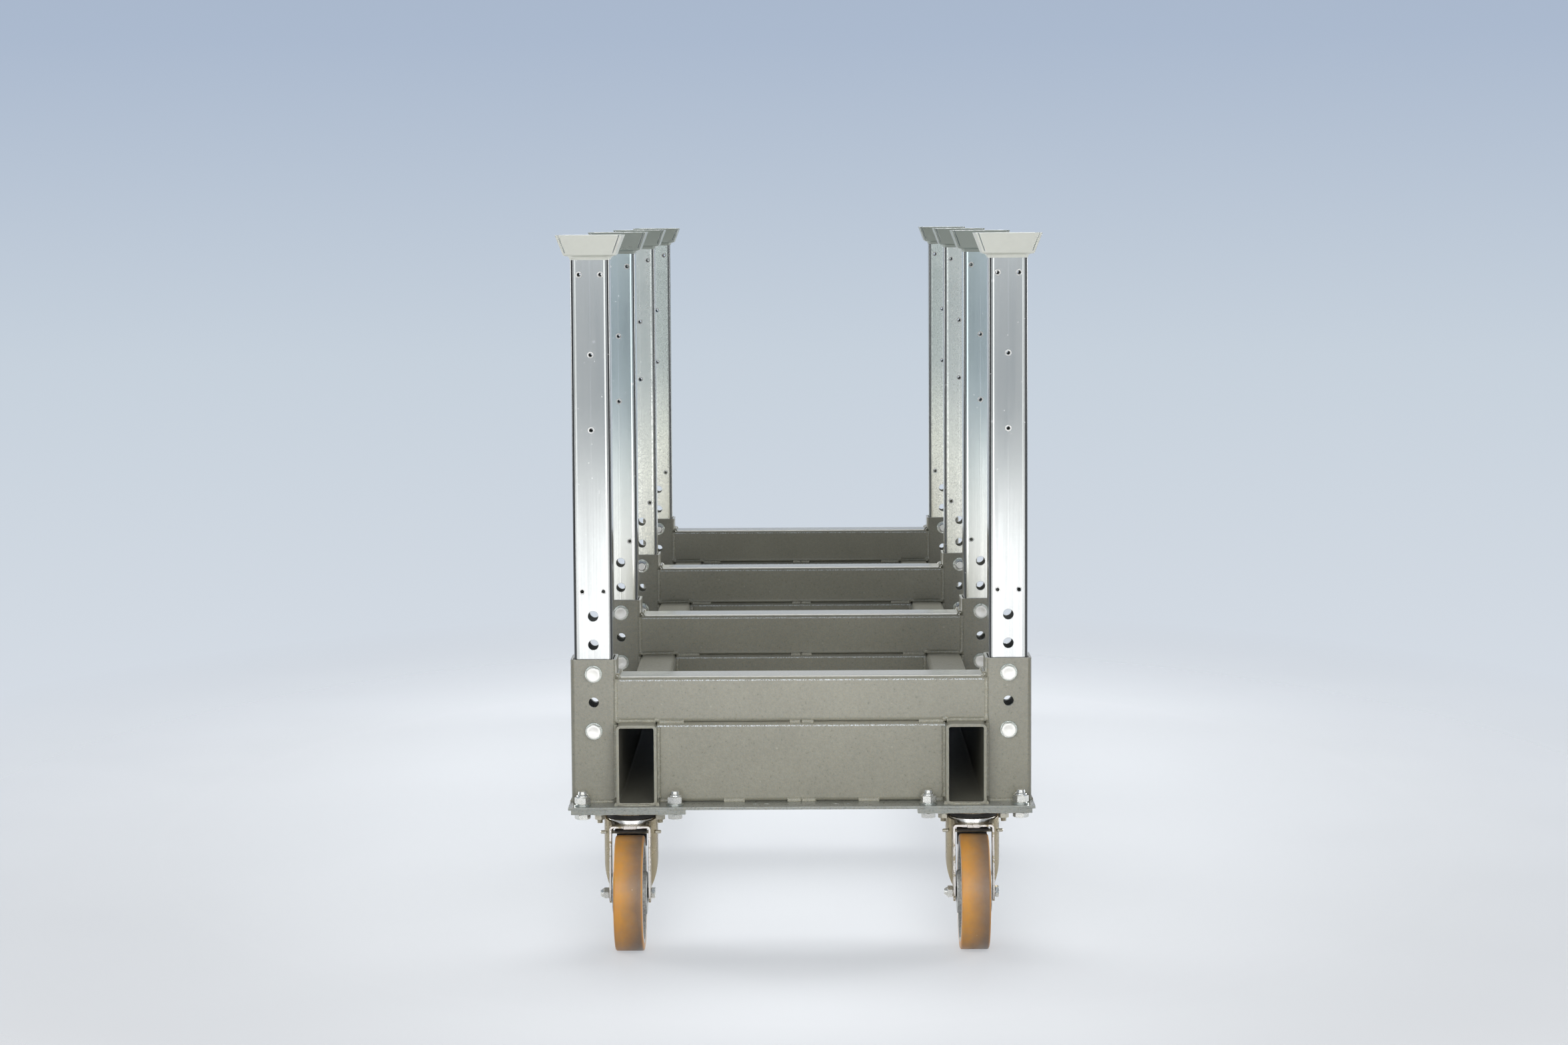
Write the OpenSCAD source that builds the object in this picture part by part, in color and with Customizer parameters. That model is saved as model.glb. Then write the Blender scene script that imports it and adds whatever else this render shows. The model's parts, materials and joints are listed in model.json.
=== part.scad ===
// Bar and pipe trolley: four rows of bolted posts on a welded tube frame with four casters.
// Millimetres. X is the width, Y the length, Z is up. The braked swivel casters are at -Y.
// The origin is on the floor, at the centre of the whole length, front wheels included.

/* [Layout] */
// Distance from one row of posts to the next
row_pitch = 936; // [600:1:1200]
// Distance from the outer rows to the ends of the base plates
end_overhang = 96; // [90:1:140]
// Distance between the two post centres of a row
post_spacing = 720; // [660:10:900]

/* [Frame tubes] */
// Side of the square bolster and socket tubes
tube_side = 80; // [76:1:90]
// Wall of the frame tubes
tube_wall = 5; // [3:0.5:5]
// Outer corner radius of the frame tubes
tube_corner = 8; // [6:0.5:12]
// Height of the longitudinals and of the lower cross tubes
beam_height = 140; // [100:5:180]
// Width of the longitudinals
beam_width = 70; // [50:5:90]
// How far the longitudinals stop short of the base plates' outer edges
beam_setback = 16; // [5:1:30]
// Height of the post sockets
socket_height = 250; // [200:5:320]

/* [Posts] */
// Side of the square posts
post_side = 67; // [60:1:68]
// Wall of the posts
post_wall = 3; // [2:0.5:4]
// Outer corner radius of the posts
post_corner = 6; // [5:0.5:9]
// Length of the posts
post_length = 850; // [750:10:1200]
// Distance from a post's lower end to its lowest bolt hole
post_foot = 27; // [20:1:40]
// Distance from a socket's rim down to its top bolt
rim_to_bolt = 25; // [20:1:40]
// Pitch of the bolt holes in sockets and posts
hole_pitch = 50; // [40:1:55]
// Diameter of the bolt holes in the sockets
socket_hole_d = 17.5; // [16.5:0.5:19]
// Diameter of the bolt holes in the posts
post_hole_d = 18; // [16.5:0.5:19]
// Diameter of the small fixing holes in the posts
small_hole_d = 6; // [4:0.5:8]
// Width of the countersink round a small fixing hole
small_hole_rim = 11; // [9:0.5:12]
// How far below the post's top the single fixing holes are
single_hole_drops = [170, 300]; // [60:1:500]
// How far below the post's top the paired fixing holes are
pair_hole_drops = [32, 580]; // [20:1:600]
// Distance between the two holes of a pair
pair_gap = 37; // [30:1:42]

/* [Post caps] */
// Side of a cap's square base
cap_base = 88; // [80:1:95]
// Side of a cap's square rim
cap_rim = 115; // [105:1:130]
// Height of a cap
cap_height = 36; // [25:1:50]
// Sheet thickness of a cap
cap_sheet = 4; // [2:0.5:4]
// Outer radius of the bend between a cap's base and its flaps
cap_bend = 5; // [4.5:0.5:8]
// Width of the slits between the flaps of a cap
cap_slit = 1.2; // [0.6:0.1:3]

/* [Plates] */
// Width of the base plates
base_width = 806; // [780:2:1000]
// Depth of the base plates along the trolley
base_depth = 210; // [202:2:280]
// Thickness of the base plates
base_thick = 5; // [4:0.5:8]
// Side of the square adapter plates
adapter_side = 198; // [190:1:200]
// Thickness of the adapter plates
adapter_thick = 8; // [7:0.5:12]
// Spacing of the bolts that hold an adapter plate
adapter_bolts = 160; // [150:1:162]
// Diameter of the drawbar holes in the base plates
drawbar_hole_d = 9; // [6:0.5:11]
// Distance from the trolley's middle to the centre of a pair of drawbar holes
drawbar_x = 70; // [40:1:90]
// Distance between the two drawbar holes of a pair
drawbar_gap = 20; // [16:1:24]
// Distance from a base plate's outer edge to the drawbar holes
drawbar_edge = 31; // [15:1:36]

/* [Casters] */
// Height of a caster from the floor to the top of its plate
caster_height = 245; // [243:1:260]
// Distance from a post's centre in to the caster's centre
caster_inset = 61; // [50:1:70]
// Length of the caster's plate, across the trolley
caster_plate_x = 140; // [130:1:150]
// Width of the caster's plate, along the trolley
caster_plate_y = 110; // [100:1:120]
// Thickness of the caster's plate
caster_plate_t = 8; // [6:0.5:8]
// Spacing of the caster's bolts across the trolley
caster_bolts_x = 105; // [100:1:110]
// Spacing of the caster's bolts along the trolley
caster_bolts_y = 77; // [75:1:80]
// Offset of the wheel's axle from the swivel axis
trail = 54; // [50:1:60]
// Radius of the swivel head
head_r = 47; // [45:0.5:50]
// Half width of the fork over its cheeks
cheek_x = 36; // [36:0.5:38]
// Sheet thickness of the forks
fork_sheet = 4; // [3:0.5:4]

/* [Wheels] */
// Diameter of the wheels
wheel_d = 200; // [180:1:200]
// Width of the wheels' tread
wheel_w = 50; // [40:1:52]
// Thickness of the tread
tread_thick = 12; // [8:1:16]
// Diameter of the hub
hub_d = 74; // [60:1:80]
// Length of the hub
hub_length = 60; // [56:1:62]

/* [Brake] */
// Diameter of the brake lever's pin
brake_pin_d = 6; // [5:0.5:6]
// Length of the pedal behind the swivel axis
pedal_reach = 104; // [90:1:115]
// Gap between the brake shoe and the tread while the brake is off
shoe_gap = 6; // [5.5:0.5:8]

/* [Hidden] */
// Rows are numbered from the front, and sides run from left to right
rows = [1, 2, 3, 4];
sides = [-1, 1];
side_names = ["left", "right"];
ends = ["front", "rear"];

$fn = 64;

// Colours as the photograph shows them
frame_paint = [0.56, 0.56, 0.51];
plate_paint = [0.54, 0.58, 0.56];
zinc = [0.78, 0.80, 0.80];
dull_zinc = [0.80, 0.81, 0.76];
fork_zinc = [0.62, 0.61, 0.54];
dark_steel = [0.22, 0.22, 0.21];
cast_iron = [0.45, 0.46, 0.45];
amber = [0.80, 0.52, 0.20];

// How far along the trolley a row of posts stands
function row_y(n) = (n - (len(rows) + 1) / 2) * row_pitch;

// Levels above the floor
adapter_z = caster_height;
base_z = adapter_z + adapter_thick;
deck_z = base_z + base_thick;
bolster_z = deck_z + beam_height;
socket_top = deck_z + socket_height;
function bolt_z(k) = socket_top - rim_to_bolt - k * hole_pitch;
socket_holes = [0, 1, 2];
bolted_holes = [0, 2];
post_holes = [-2, -1, 0, 1, 2];
post_z = bolt_z(2) - post_foot;
post_top = post_z + post_length;

// Places across and along the trolley
post_x = post_spacing / 2;
beam_x = post_x - tube_side / 2 - beam_width / 2;
end_y = row_y(len(rows)) + end_overhang;
adapter_setback = 2;
adapter_y = end_y - adapter_setback - adapter_side / 2;
caster_x = post_x - caster_inset;
mid_y = (adapter_y + trail + wheel_d / 2 - end_y) / 2;

// M16, M12 and M10 fasteners: shank radius, width across flats, head and nut heights
m16_r = 8;
m16_af = 24;
m16_head = 10;
m16_nut = 13;
m12_r = 6;
m12_af = 18;
m12_head = 7.5;
m12_nut = 10;
m10_r = 5;
m10_af = 16;
m10_nut = 8;
m10_head_r = 9.5;
m10_head = 5;
washer_r = 15;
washer_t = 3;
small_washer_r = 10;
small_washer_t = 2;
thread_end = 6;
nut_collar = 3;
nut_collar_inset = 2;
axle_end = 2.5;
hole_slack = 0.75;
nut_slack = 0.1;

// Space between neighbouring bodies, and round a shaft that turns
gap = 0.4;
running = 0.06;
// How far a cutter runs past the face that it opens, and how far joined shapes of one piece lap
cut = 1;
lap = 0.5;

// Swivel caster levels and places, measured from the floor below the swivel axis
wheel_r = wheel_d / 2;
plate_under = caster_height - caster_plate_t;
race_depth = 3;
caster_plate_corner = 10;
race_r = 42.5;
race_rim = 2;
race_inner = 34;
ball_ring_h = 7.6;
cup_top = plate_under - race_depth - ball_ring_h - gap;
cup_depth = 9.5;
cup_low_r = 33;
cup_width = 4;
cup_lip = 1;
crown_top = cup_top - cup_depth;
crown_under = crown_top - fork_sheet;
crown_corner = 6.5;
crown_front = 50;
wing_rise = 12.5;
wing_top = crown_top + wing_rise;
wing_front = 30;
wing_slope = 5;
head_front_drop = 3;
head_step = 0.8;
lug_r = 17;
kingpin_r = 8;
kingpin_head_r = 12;
kingpin_head = 4.5;
kingpin_foot = 6;
boss_r = 13;
tab_width = 22;
tab_height = 6;
tab_thick = 3;
caster_reach = 200;

// Edges of the cheeks: straight lines that run just inside the axle lug's circle
rear_top_y = 44;
rear_rise = 6;
rear_slope = 1;
lug_inset = 0.2;
axle_point = [-trail, wheel_r];
front_top = [-crown_front, crown_top + lap];
rear_top = [rear_top_y, crown_top + rear_rise];
function lug_point(from, turn) =
    let (run = from - axle_point, r = lug_r - lug_inset)
    let (a = atan2(run[1], run[0]) + turn * acos(r / norm(run)))
    axle_point + r * [cos(a), sin(a)];

// Brake: the lever turns on a pin just behind the wheel's top
pin_y = -15;
pin_drop = 12;
pin_z = crown_under - pin_drop;
brake_pin_half = 53;
barrel_r = 5.2;
barrel_half = 28;
arm_inner = 18;
arm_width = 8;
arm_below = 4;
arm_above = 5;
arm_low = pin_z - arm_below;
arm_high = pin_z + arm_above;
arm_end = 56;
shoe_front = 9;
shoe_back = 31;
shoe_low = 168;
pedal_width = 60;
pedal_start = 50;
pedal_t = 6;
pedal_lip = 10;

// Rear fixed bracket
bracket_sheet = 5;
bracket_half = 46;
bracket_lug_r = 20;
bracket_corner = 8;
bracket_x = cheek_x - fork_sheet + bracket_sheet;

// Wheel core and bearings
rim_inner_r = 76;
web_half = 6;
rim_slope = 4;
bearing_r = 18.5;
bearing_w = 12;
bearing_press = 0.05;
hub_bore_r = 9;
hub_edge = 2;
hub_slope = 3;
collar_r = 9;
tread_round = 3;

// A square or rectangular outline with round corners
module rounded_rect(w, h, r) {
    square([w - 2 * r, h], center = true);
    square([w, h - 2 * r], center = true);
    for (sx = sides, sy = sides)
        translate([sx * (w / 2 - r), sy * (h / 2 - r)]) circle(r = r);
}

// A hollow section standing on the XY plane
module box_tube(w, h, r, wall, length) {
    linear_extrude(length) difference() {
        rounded_rect(w, h, r);
        rounded_rect(w - 2 * wall, h - 2 * wall, r - wall);
    }
}

// Turn a shape that stands along Z so that it lies along X or along Y
module lie_along_x() { rotate([0, 90, 0]) rotate([0, 0, 90]) children(); }
module lie_along_y() { rotate([90, 0, 0]) children(); }

module hexagon(af, h) { cylinder(d = af / cos(30), h = h, $fn = 6); }

// A hexagon bolt with its head on the XY plane and its shank pointing down
module hex_bolt(r, af, head, length) {
    hexagon(af, head);
    translate([0, 0, -length]) cylinder(r = r, h = length);
}

// A lock nut: a hexagon with a round collar, resting on the XY plane
module lock_nut(r, af, h) {
    difference() {
        union() {
            hexagon(af, h);
            cylinder(d = af - nut_collar_inset, h = h + nut_collar);
        }
        translate([0, 0, -cut]) cylinder(r = r + nut_slack, h = h + nut_collar + 2 * cut);
    }
}

module washer(r_in, r_out, t) {
    difference() {
        cylinder(r = r_out, h = t);
        translate([0, 0, -cut]) cylinder(r = r_in, h = t + 2 * cut);
    }
}

// Four places at the corners of a rectangle
module at_corners(dx, dy) {
    for (sx = sides, sy = sides) translate([sx * dx / 2, sy * dy / 2, 0]) children();
}

module longitudinal(side) {
    color(frame_paint)
        translate([side * beam_x, end_y - beam_setback, deck_z + beam_height / 2])
            lie_along_y()
                box_tube(beam_width, beam_height, tube_corner, tube_wall, 2 * (end_y - beam_setback));
}

module bolster(n) {
    length = post_spacing - tube_side;
    color(frame_paint)
        translate([-length / 2, row_y(n), bolster_z + tube_side / 2])
            lie_along_x() box_tube(tube_side, tube_side, tube_corner, tube_wall, length);
}

module lower_cross_tubes() {
    length = 2 * beam_x - beam_width;
    color(frame_paint)
        for (n = rows)
            translate([-length / 2, row_y(n), deck_z + beam_height / 2])
                lie_along_x() box_tube(tube_side, beam_height, tube_corner, tube_wall, length);
}

module sockets(side) {
    color(frame_paint)
        for (n = rows)
            translate([side * post_x, row_y(n), 0]) difference() {
                translate([0, 0, deck_z])
                    box_tube(tube_side, tube_side, tube_corner, tube_wall, socket_height);
                for (k = socket_holes)
                    translate([0, tube_side / 2 + cut, bolt_z(k)])
                        lie_along_y() cylinder(d = socket_hole_d, h = tube_side + 2 * cut);
            }
}

// A small hole through one wall of a post, with a shallow countersink outside
module fixing_hole() {
    sink = (small_hole_rim - small_hole_d) / 2;
    translate([0, 0, -post_wall - cut]) cylinder(d = small_hole_d, h = post_wall + 2 * cut);
    translate([0, 0, -sink / 2])
        cylinder(d1 = small_hole_d, d2 = 2 * small_hole_rim - small_hole_d, h = sink);
}

module post(side, n) {
    color(zinc)
        translate([side * post_x, row_y(n), 0]) difference() {
            translate([0, 0, post_z])
                box_tube(post_side, post_side, post_corner, post_wall, post_length);
            for (k = post_holes)
                translate([0, post_side / 2 + cut, bolt_z(k)])
                    lie_along_y() cylinder(d = post_hole_d, h = post_side + 2 * cut);
            for (turn = [0, 180]) rotate([0, 0, turn]) {
                for (drop = single_hole_drops)
                    translate([0, -post_side / 2, post_top - drop]) lie_along_y() fixing_hole();
                for (drop = pair_hole_drops, sx = sides)
                    translate([sx * pair_gap / 2, -post_side / 2, post_top - drop])
                        lie_along_y() fixing_hole();
            }
        }
}

// Slope of a cap's flaps from the vertical, and where their bend touches the base
flare = atan((cap_rim - cap_base) / 2 / cap_height);
bend_run = cap_bend * tan((90 - flare) / 2);
bend_steps = 5;
function flap_x(z, inset) = cap_base / 2 + z * tan(flare) - inset / cos(flare);
function cap_side(inset, top) = concat(
    [for (i = [0:bend_steps])
        let (a = -90 + i * (90 - flare) / bend_steps)
        [cap_base / 2 - bend_run, cap_bend] + (cap_bend - inset) * [cos(a), sin(a)]],
    [[flap_x(top, inset), top]]);
function mirrored(points) = [for (i = [len(points) - 1:-1:0]) [-points[i][0], points[i][1]]];

// A cap's funnel as a solid, drawn in by the inset
module cap_solid(inset, top) {
    outline = concat(cap_side(inset, top), mirrored(cap_side(inset, top)));
    intersection_for(turn = [0, 90])
        rotate([0, 0, turn]) rotate([90, 0, 0])
            linear_extrude(2 * cap_rim, center = true) polygon(outline);
}

// One strip beside a side flap, where the front and back flaps end
module cap_slit_cut() {
    low = cap_sheet + cap_slit;
    high = cap_height + cut;
    rotate([90, 0, 0]) linear_extrude(2 * cap_rim, center = true)
        polygon([
            [flap_x(low, cap_sheet), low], [flap_x(high, cap_sheet), high],
            [flap_x(high, cap_sheet + cap_slit), high], [flap_x(low, cap_sheet + cap_slit), low]
        ]);
}

module post_cap() {
    difference() {
        cap_solid(0, cap_height);
        cap_solid(cap_sheet, cap_height + cut);
        cap_slit_cut();
        mirror([1, 0, 0]) cap_slit_cut();
    }
}

module post_caps(side) {
    color(dull_zinc)
        for (n = rows) translate([side * post_x, row_y(n), post_top]) post_cap();
}

// The bolts' heads face outward from the trolley's middle, their nuts face inward
module at_post_bolts() {
    for (side = sides, n = rows, k = bolted_holes)
        translate([side * post_x, row_y(n), bolt_z(k)])
            rotate([0, 0, n <= 2 ? 0 : 180]) rotate([90, 0, 0]) children();
}

module post_bolts() {
    grip = tube_side + 2 * washer_t + m16_nut + nut_collar + thread_end;
    color(zinc)
        at_post_bolts()
            translate([0, 0, tube_side / 2 + washer_t]) hex_bolt(m16_r, m16_af, m16_head, grip);
}

module post_washers() {
    color(zinc)
        at_post_bolts() {
            translate([0, 0, tube_side / 2]) washer(m16_r + hole_slack, washer_r, washer_t);
            translate([0, 0, -tube_side / 2 - washer_t])
                washer(m16_r + hole_slack, washer_r, washer_t);
        }
}

module post_nuts() {
    color(zinc)
        at_post_bolts()
            translate([0, 0, -tube_side / 2 - washer_t]) mirror([0, 0, 1])
                lock_nut(m16_r, m16_af, m16_nut);
}

// A base plate with its bolt holes and two pairs of drawbar holes, seen at the front end
module base_plate(end) {
    color(frame_paint)
        rotate([0, 0, end < 0 ? 0 : 180]) difference() {
            translate([-base_width / 2, -end_y, base_z]) cube([base_width, base_depth, base_thick]);
            for (side = sides) {
                translate([side * caster_x, -adapter_y, base_z - cut])
                    at_corners(adapter_bolts, adapter_bolts)
                        cylinder(r = m16_r + hole_slack, h = base_thick + 2 * cut);
                for (sx = sides)
                    translate([side * drawbar_x + sx * drawbar_gap / 2, drawbar_edge - end_y, base_z - cut])
                        cylinder(d = drawbar_hole_d, h = base_thick + 2 * cut);
            }
        }
}

// The four casters' centres
module at_casters() {
    for (side = sides, end = sides) translate([side * caster_x, end * adapter_y, 0]) children();
}

module adapter_plates() {
    color(plate_paint)
        at_casters() translate([0, 0, adapter_z]) difference() {
            translate([-adapter_side / 2, -adapter_side / 2, 0])
                cube([adapter_side, adapter_side, adapter_thick]);
            at_corners(adapter_bolts, adapter_bolts)
                translate([0, 0, -cut])
                    cylinder(r = m16_r + hole_slack, h = adapter_thick + 2 * cut);
            at_corners(caster_bolts_x, caster_bolts_y) {
                translate([0, 0, -cut]) cylinder(r = m10_r + hole_slack, h = adapter_thick + 2 * cut);
                translate([0, 0, adapter_thick - m10_head])
                    cylinder(r1 = m10_r + hole_slack, r2 = m10_head_r + hole_slack, h = m10_head);
            }
        }
}

module at_plate_bolts() {
    at_casters() at_corners(adapter_bolts, adapter_bolts) children();
}

module plate_bolts() {
    grip = adapter_thick + base_thick + washer_t + m16_nut + nut_collar + thread_end;
    color(zinc)
        at_plate_bolts()
            translate([0, 0, adapter_z]) mirror([0, 0, 1]) hex_bolt(m16_r, m16_af, m16_head, grip);
}

module plate_washers() {
    color(zinc)
        at_plate_bolts()
            translate([0, 0, deck_z]) washer(m16_r + hole_slack, washer_r, washer_t);
}

module plate_nuts() {
    color(zinc)
        at_plate_bolts()
            translate([0, 0, deck_z + washer_t]) lock_nut(m16_r, m16_af, m16_nut);
}

module at_caster_screws() {
    at_casters() at_corners(caster_bolts_x, caster_bolts_y) children();
}

// Countersunk screws, flush in the adapter plates, pointing down
module caster_screws() {
    length = adapter_thick + caster_plate_t + small_washer_t + m10_nut + thread_end;
    color(zinc)
        at_caster_screws() {
            translate([0, 0, base_z - m10_head]) cylinder(r1 = m10_r, r2 = m10_head_r, h = m10_head);
            translate([0, 0, base_z - length]) cylinder(r = m10_r, h = length - m10_head);
        }
}

module caster_washers() {
    color(zinc)
        at_caster_screws()
            translate([0, 0, plate_under - small_washer_t])
                washer(m10_r + hole_slack, small_washer_r, small_washer_t);
}

module caster_nuts() {
    color(zinc)
        at_caster_screws()
            translate([0, 0, plate_under - small_washer_t - m10_nut]) difference() {
                hexagon(m10_af, m10_nut);
                translate([0, 0, -cut]) cylinder(r = m10_r + nut_slack, h = m10_nut + 2 * cut);
            }
}

module at_front_caster(side) {
    translate([side * caster_x, -adapter_y, 0]) children();
}

module caster_plate_outline() { rounded_rect(caster_plate_x, caster_plate_y, caster_plate_corner); }

module swivel_plate(side) {
    color(fork_zinc)
        at_front_caster(side) difference() {
            union() {
                translate([0, 0, plate_under]) linear_extrude(caster_plate_t) caster_plate_outline();
                translate([0, 0, plate_under - race_depth])
                    cylinder(r = race_r + race_rim, h = race_depth + lap);
            }
            translate([0, 0, plate_under - race_depth - cut])
                cylinder(r = kingpin_r + nut_slack, h = race_depth + caster_plate_t + 2 * cut);
            translate([0, 0, caster_height - kingpin_head])
                cylinder(r = kingpin_head_r + nut_slack, h = kingpin_head + cut);
            translate([0, 0, plate_under - cut])
                at_corners(caster_bolts_x, caster_bolts_y)
                    cylinder(r = m10_r + hole_slack, h = caster_plate_t + 2 * cut);
        }
}

// The ring of balls and its seal, under each swivel plate
module swivel_ball_rings() {
    color(dark_steel)
        for (side = sides)
            at_front_caster(side) translate([0, 0, plate_under - race_depth - ball_ring_h])
                washer(race_inner, race_r, ball_ring_h);
}

module kingpins() {
    low = crown_under - gap - kingpin_foot;
    color(zinc)
        for (side = sides)
            at_front_caster(side) {
                translate([0, 0, low]) cylinder(r = kingpin_r, h = caster_height - low);
                translate([0, 0, caster_height - kingpin_head])
                    cylinder(r = kingpin_head_r, h = kingpin_head);
                translate([0, 0, low]) cylinder(r = kingpin_head_r, h = kingpin_foot);
            }
}

// The cheeks seen from the side, as Y and Z, extruded across the caster
module cheek_prism() {
    lie_along_x() linear_extrude(caster_reach, center = true) {
        polygon([
            front_top, lug_point(front_top, 1), axle_point, lug_point(rear_top, -1), rear_top,
            [head_r + lap, rear_top[1] + rear_slope], [head_r + lap, wing_top + lap], [0, wing_top + lap]
        ]);
        translate(axle_point) circle(r = lug_r);
    }
}

// The round head seen from the side: its wall stands higher behind than in front
module head_prism() {
    low = crown_top - head_front_drop;
    lie_along_x() linear_extrude(caster_reach, center = true)
        polygon([
            [-caster_reach, 0], [head_r + cut, 0], [head_r + cut, wing_top], [-wing_front, wing_top],
            [-wing_front - wing_slope, low], [-caster_reach, low]
        ]);
}

// A channel with round upper corners, open below, running along Y
module channel(half, top, corner, length) {
    lie_along_y() linear_extrude(length, center = true) {
        translate([-half, 0]) square([2 * half, top - corner]);
        translate([-half + corner, 0]) square([2 * (half - corner), top]);
        for (sx = sides) translate([sx * (half - corner), top - corner]) circle(r = corner);
    }
}

// The space that the fork's sheet encloses: a round head above, a channel down to the axle
module fork_blank() {
    intersection() {
        union() {
            channel(cheek_x, crown_top, crown_corner, caster_reach);
            intersection() {
                cylinder(r = head_r, h = wing_top + cut);
                head_prism();
            }
        }
        cheek_prism();
    }
}

// Cheeks and crown pressed from one sheet: the blank, hollowed out below and then above the crown
module fork_shell() {
    inner_r = head_r - fork_sheet;
    difference() {
        difference() {
            difference() {
                fork_blank();
                channel(cheek_x - fork_sheet, crown_under, crown_corner - fork_sheet,
                    caster_reach + 2 * cut);
            }
            cylinder(r = inner_r, h = crown_under - head_step);
        }
        translate([0, 0, crown_top]) cylinder(r = inner_r, h = wing_top);
    }
}

// The pressed cup under the ball ring, with a boss round the kingpin
module fork_cup() {
    rim_r = head_r - fork_sheet + lap;
    rotate_extrude() polygon([
        [cup_low_r - cup_width, -lap], [cup_low_r, -lap], [rim_r, cup_depth - cup_lip],
        [rim_r, cup_depth], [race_r - cup_width, cup_depth], [cup_low_r - cup_width, cup_width]
    ]);
    translate([0, 0, -lap]) cylinder(r = boss_r, h = cup_depth);
}

// The small tab bent down at the front of the crown
module crown_tab() {
    translate([-tab_width / 2, -crown_front - tab_thick, crown_top - tab_height + lap])
        cube([tab_width, tab_thick + lap, tab_height]);
}

module fork(side) {
    color(fork_zinc)
        at_front_caster(side) difference() {
            union() {
                fork_shell();
                crown_tab();
                translate([0, 0, crown_top]) fork_cup();
            }
            translate([0, 0, crown_under - cut])
                cylinder(r = kingpin_r + running, h = fork_sheet + cup_depth + 2 * cut);
            translate([-caster_reach / 2, -trail, wheel_r])
                lie_along_x() cylinder(r = m12_r + nut_slack, h = caster_reach);
            translate([-caster_reach / 2, pin_y, pin_z])
                lie_along_x() cylinder(d = brake_pin_d + 2 * nut_slack, h = caster_reach);
        }
}

// A wheel's bolt lies along X with its head at +X and its lock nut at -X
module axle_bolt(half) {
    translate([half, 0, 0]) rotate([0, 90, 0])
        hex_bolt(m12_r, m12_af, m12_head, 2 * half + m12_nut + nut_collar + axle_end);
}

module axle_nut(half) {
    translate([-half, 0, 0]) rotate([0, -90, 0]) lock_nut(m12_r, m12_af, m12_nut);
}

module at_front_axle(side) {
    at_front_caster(side) translate([0, -trail, wheel_r]) children();
}

module at_rear_axles() {
    for (side = sides) translate([side * caster_x, adapter_y, wheel_r]) children();
}

module axle_bolt_front(side) { color(zinc) at_front_axle(side) axle_bolt(cheek_x); }
module axle_nut_front(side) { color(zinc) at_front_axle(side) axle_nut(cheek_x); }
module axle_bolts_rear() { color(zinc) at_rear_axles() axle_bolt(bracket_x); }
module axle_nuts_rear() { color(zinc) at_rear_axles() axle_nut(bracket_x); }

module brake_pin(side) {
    color(zinc)
        at_front_caster(side) translate([-brake_pin_half, pin_y, pin_z])
            lie_along_x() cylinder(d = brake_pin_d, h = 2 * brake_pin_half);
}

// The brake lever: a barrel on the pin, two arms past the kingpin, a shoe and a pedal
module brake_pedal(side) {
    color(dark_steel)
        at_front_caster(side) difference() {
            union() {
                translate([-barrel_half, pin_y, pin_z])
                    lie_along_x() cylinder(r = barrel_r, h = 2 * barrel_half);
                for (sx = sides)
                    translate([sx * (arm_inner + arm_width / 2) - arm_width / 2, pin_y, arm_low])
                        cube([arm_width, arm_end - pin_y, arm_high - arm_low]);
                translate([-arm_inner - arm_width, shoe_front, shoe_low])
                    cube([2 * (arm_inner + arm_width), shoe_back - shoe_front, arm_low + lap - shoe_low]);
                translate([-pedal_width / 2, pedal_start, arm_low])
                    cube([pedal_width, pedal_reach - pedal_start, pedal_t]);
                translate([-pedal_width / 2, pedal_reach - pedal_t, arm_low])
                    cube([pedal_width, pedal_t, pedal_lip]);
            }
            translate([-barrel_half - cut, pin_y, pin_z])
                lie_along_x() cylinder(r = brake_pin_d / 2 + running, h = 2 * barrel_half + 2 * cut);
            translate([-barrel_half - cut, -trail, wheel_r])
                lie_along_x() cylinder(r = wheel_r + shoe_gap, h = 2 * barrel_half + 2 * cut);
        }
}

// Fixed rear casters: a plate with a straight fork welded under it
module rear_fork_brackets() {
    color(fork_zinc)
        for (side = sides) translate([side * caster_x, adapter_y, 0]) difference() {
            union() {
                translate([0, 0, plate_under]) linear_extrude(caster_plate_t) caster_plate_outline();
                intersection() {
                    channel(bracket_x, plate_under + lap, bracket_corner, caster_reach);
                    lie_along_x() linear_extrude(caster_reach, center = true) {
                        polygon([
                            [-bracket_half, plate_under + lap], [-bracket_lug_r, wheel_r],
                            [bracket_lug_r, wheel_r], [bracket_half, plate_under + lap]
                        ]);
                        translate([0, wheel_r]) circle(r = bracket_lug_r);
                    }
                }
            }
            channel(bracket_x - bracket_sheet, plate_under - bracket_sheet,
                bracket_corner - bracket_sheet, caster_reach + 2 * cut);
            translate([0, 0, plate_under - cut])
                at_corners(caster_bolts_x, caster_bolts_y)
                    cylinder(r = m10_r + hole_slack, h = caster_plate_t + 2 * cut);
            translate([-caster_reach / 2, 0, wheel_r])
                lie_along_x() cylinder(r = m12_r + nut_slack, h = caster_reach);
        }
}

// A wheel's axle: the front wheels trail behind the swivel axis, the rear ones do not
module at_axle(side, end) {
    translate([side * caster_x, end < 0 ? -adapter_y - trail : adapter_y, wheel_r])
        rotate([0, 90, 0]) children();
}

// Half of the core's outline as radius and distance from the middle plane
core_half = [
    [hub_bore_r, 0], [hub_bore_r, hub_length / 2 - bearing_w], [bearing_r, hub_length / 2 - bearing_w],
    [bearing_r, hub_length / 2], [hub_d / 2 - hub_edge, hub_length / 2],
    [hub_d / 2, hub_length / 2 - hub_edge], [hub_d / 2 + hub_slope, web_half],
    [rim_inner_r, web_half], [rim_inner_r + rim_slope, wheel_w / 2],
    [wheel_r - tread_thick, wheel_w / 2], [wheel_r - tread_thick, 0]
];
core_other_half = [for (i = [len(core_half) - 2:-1:1]) [core_half[i][0], -core_half[i][1]]];

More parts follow.
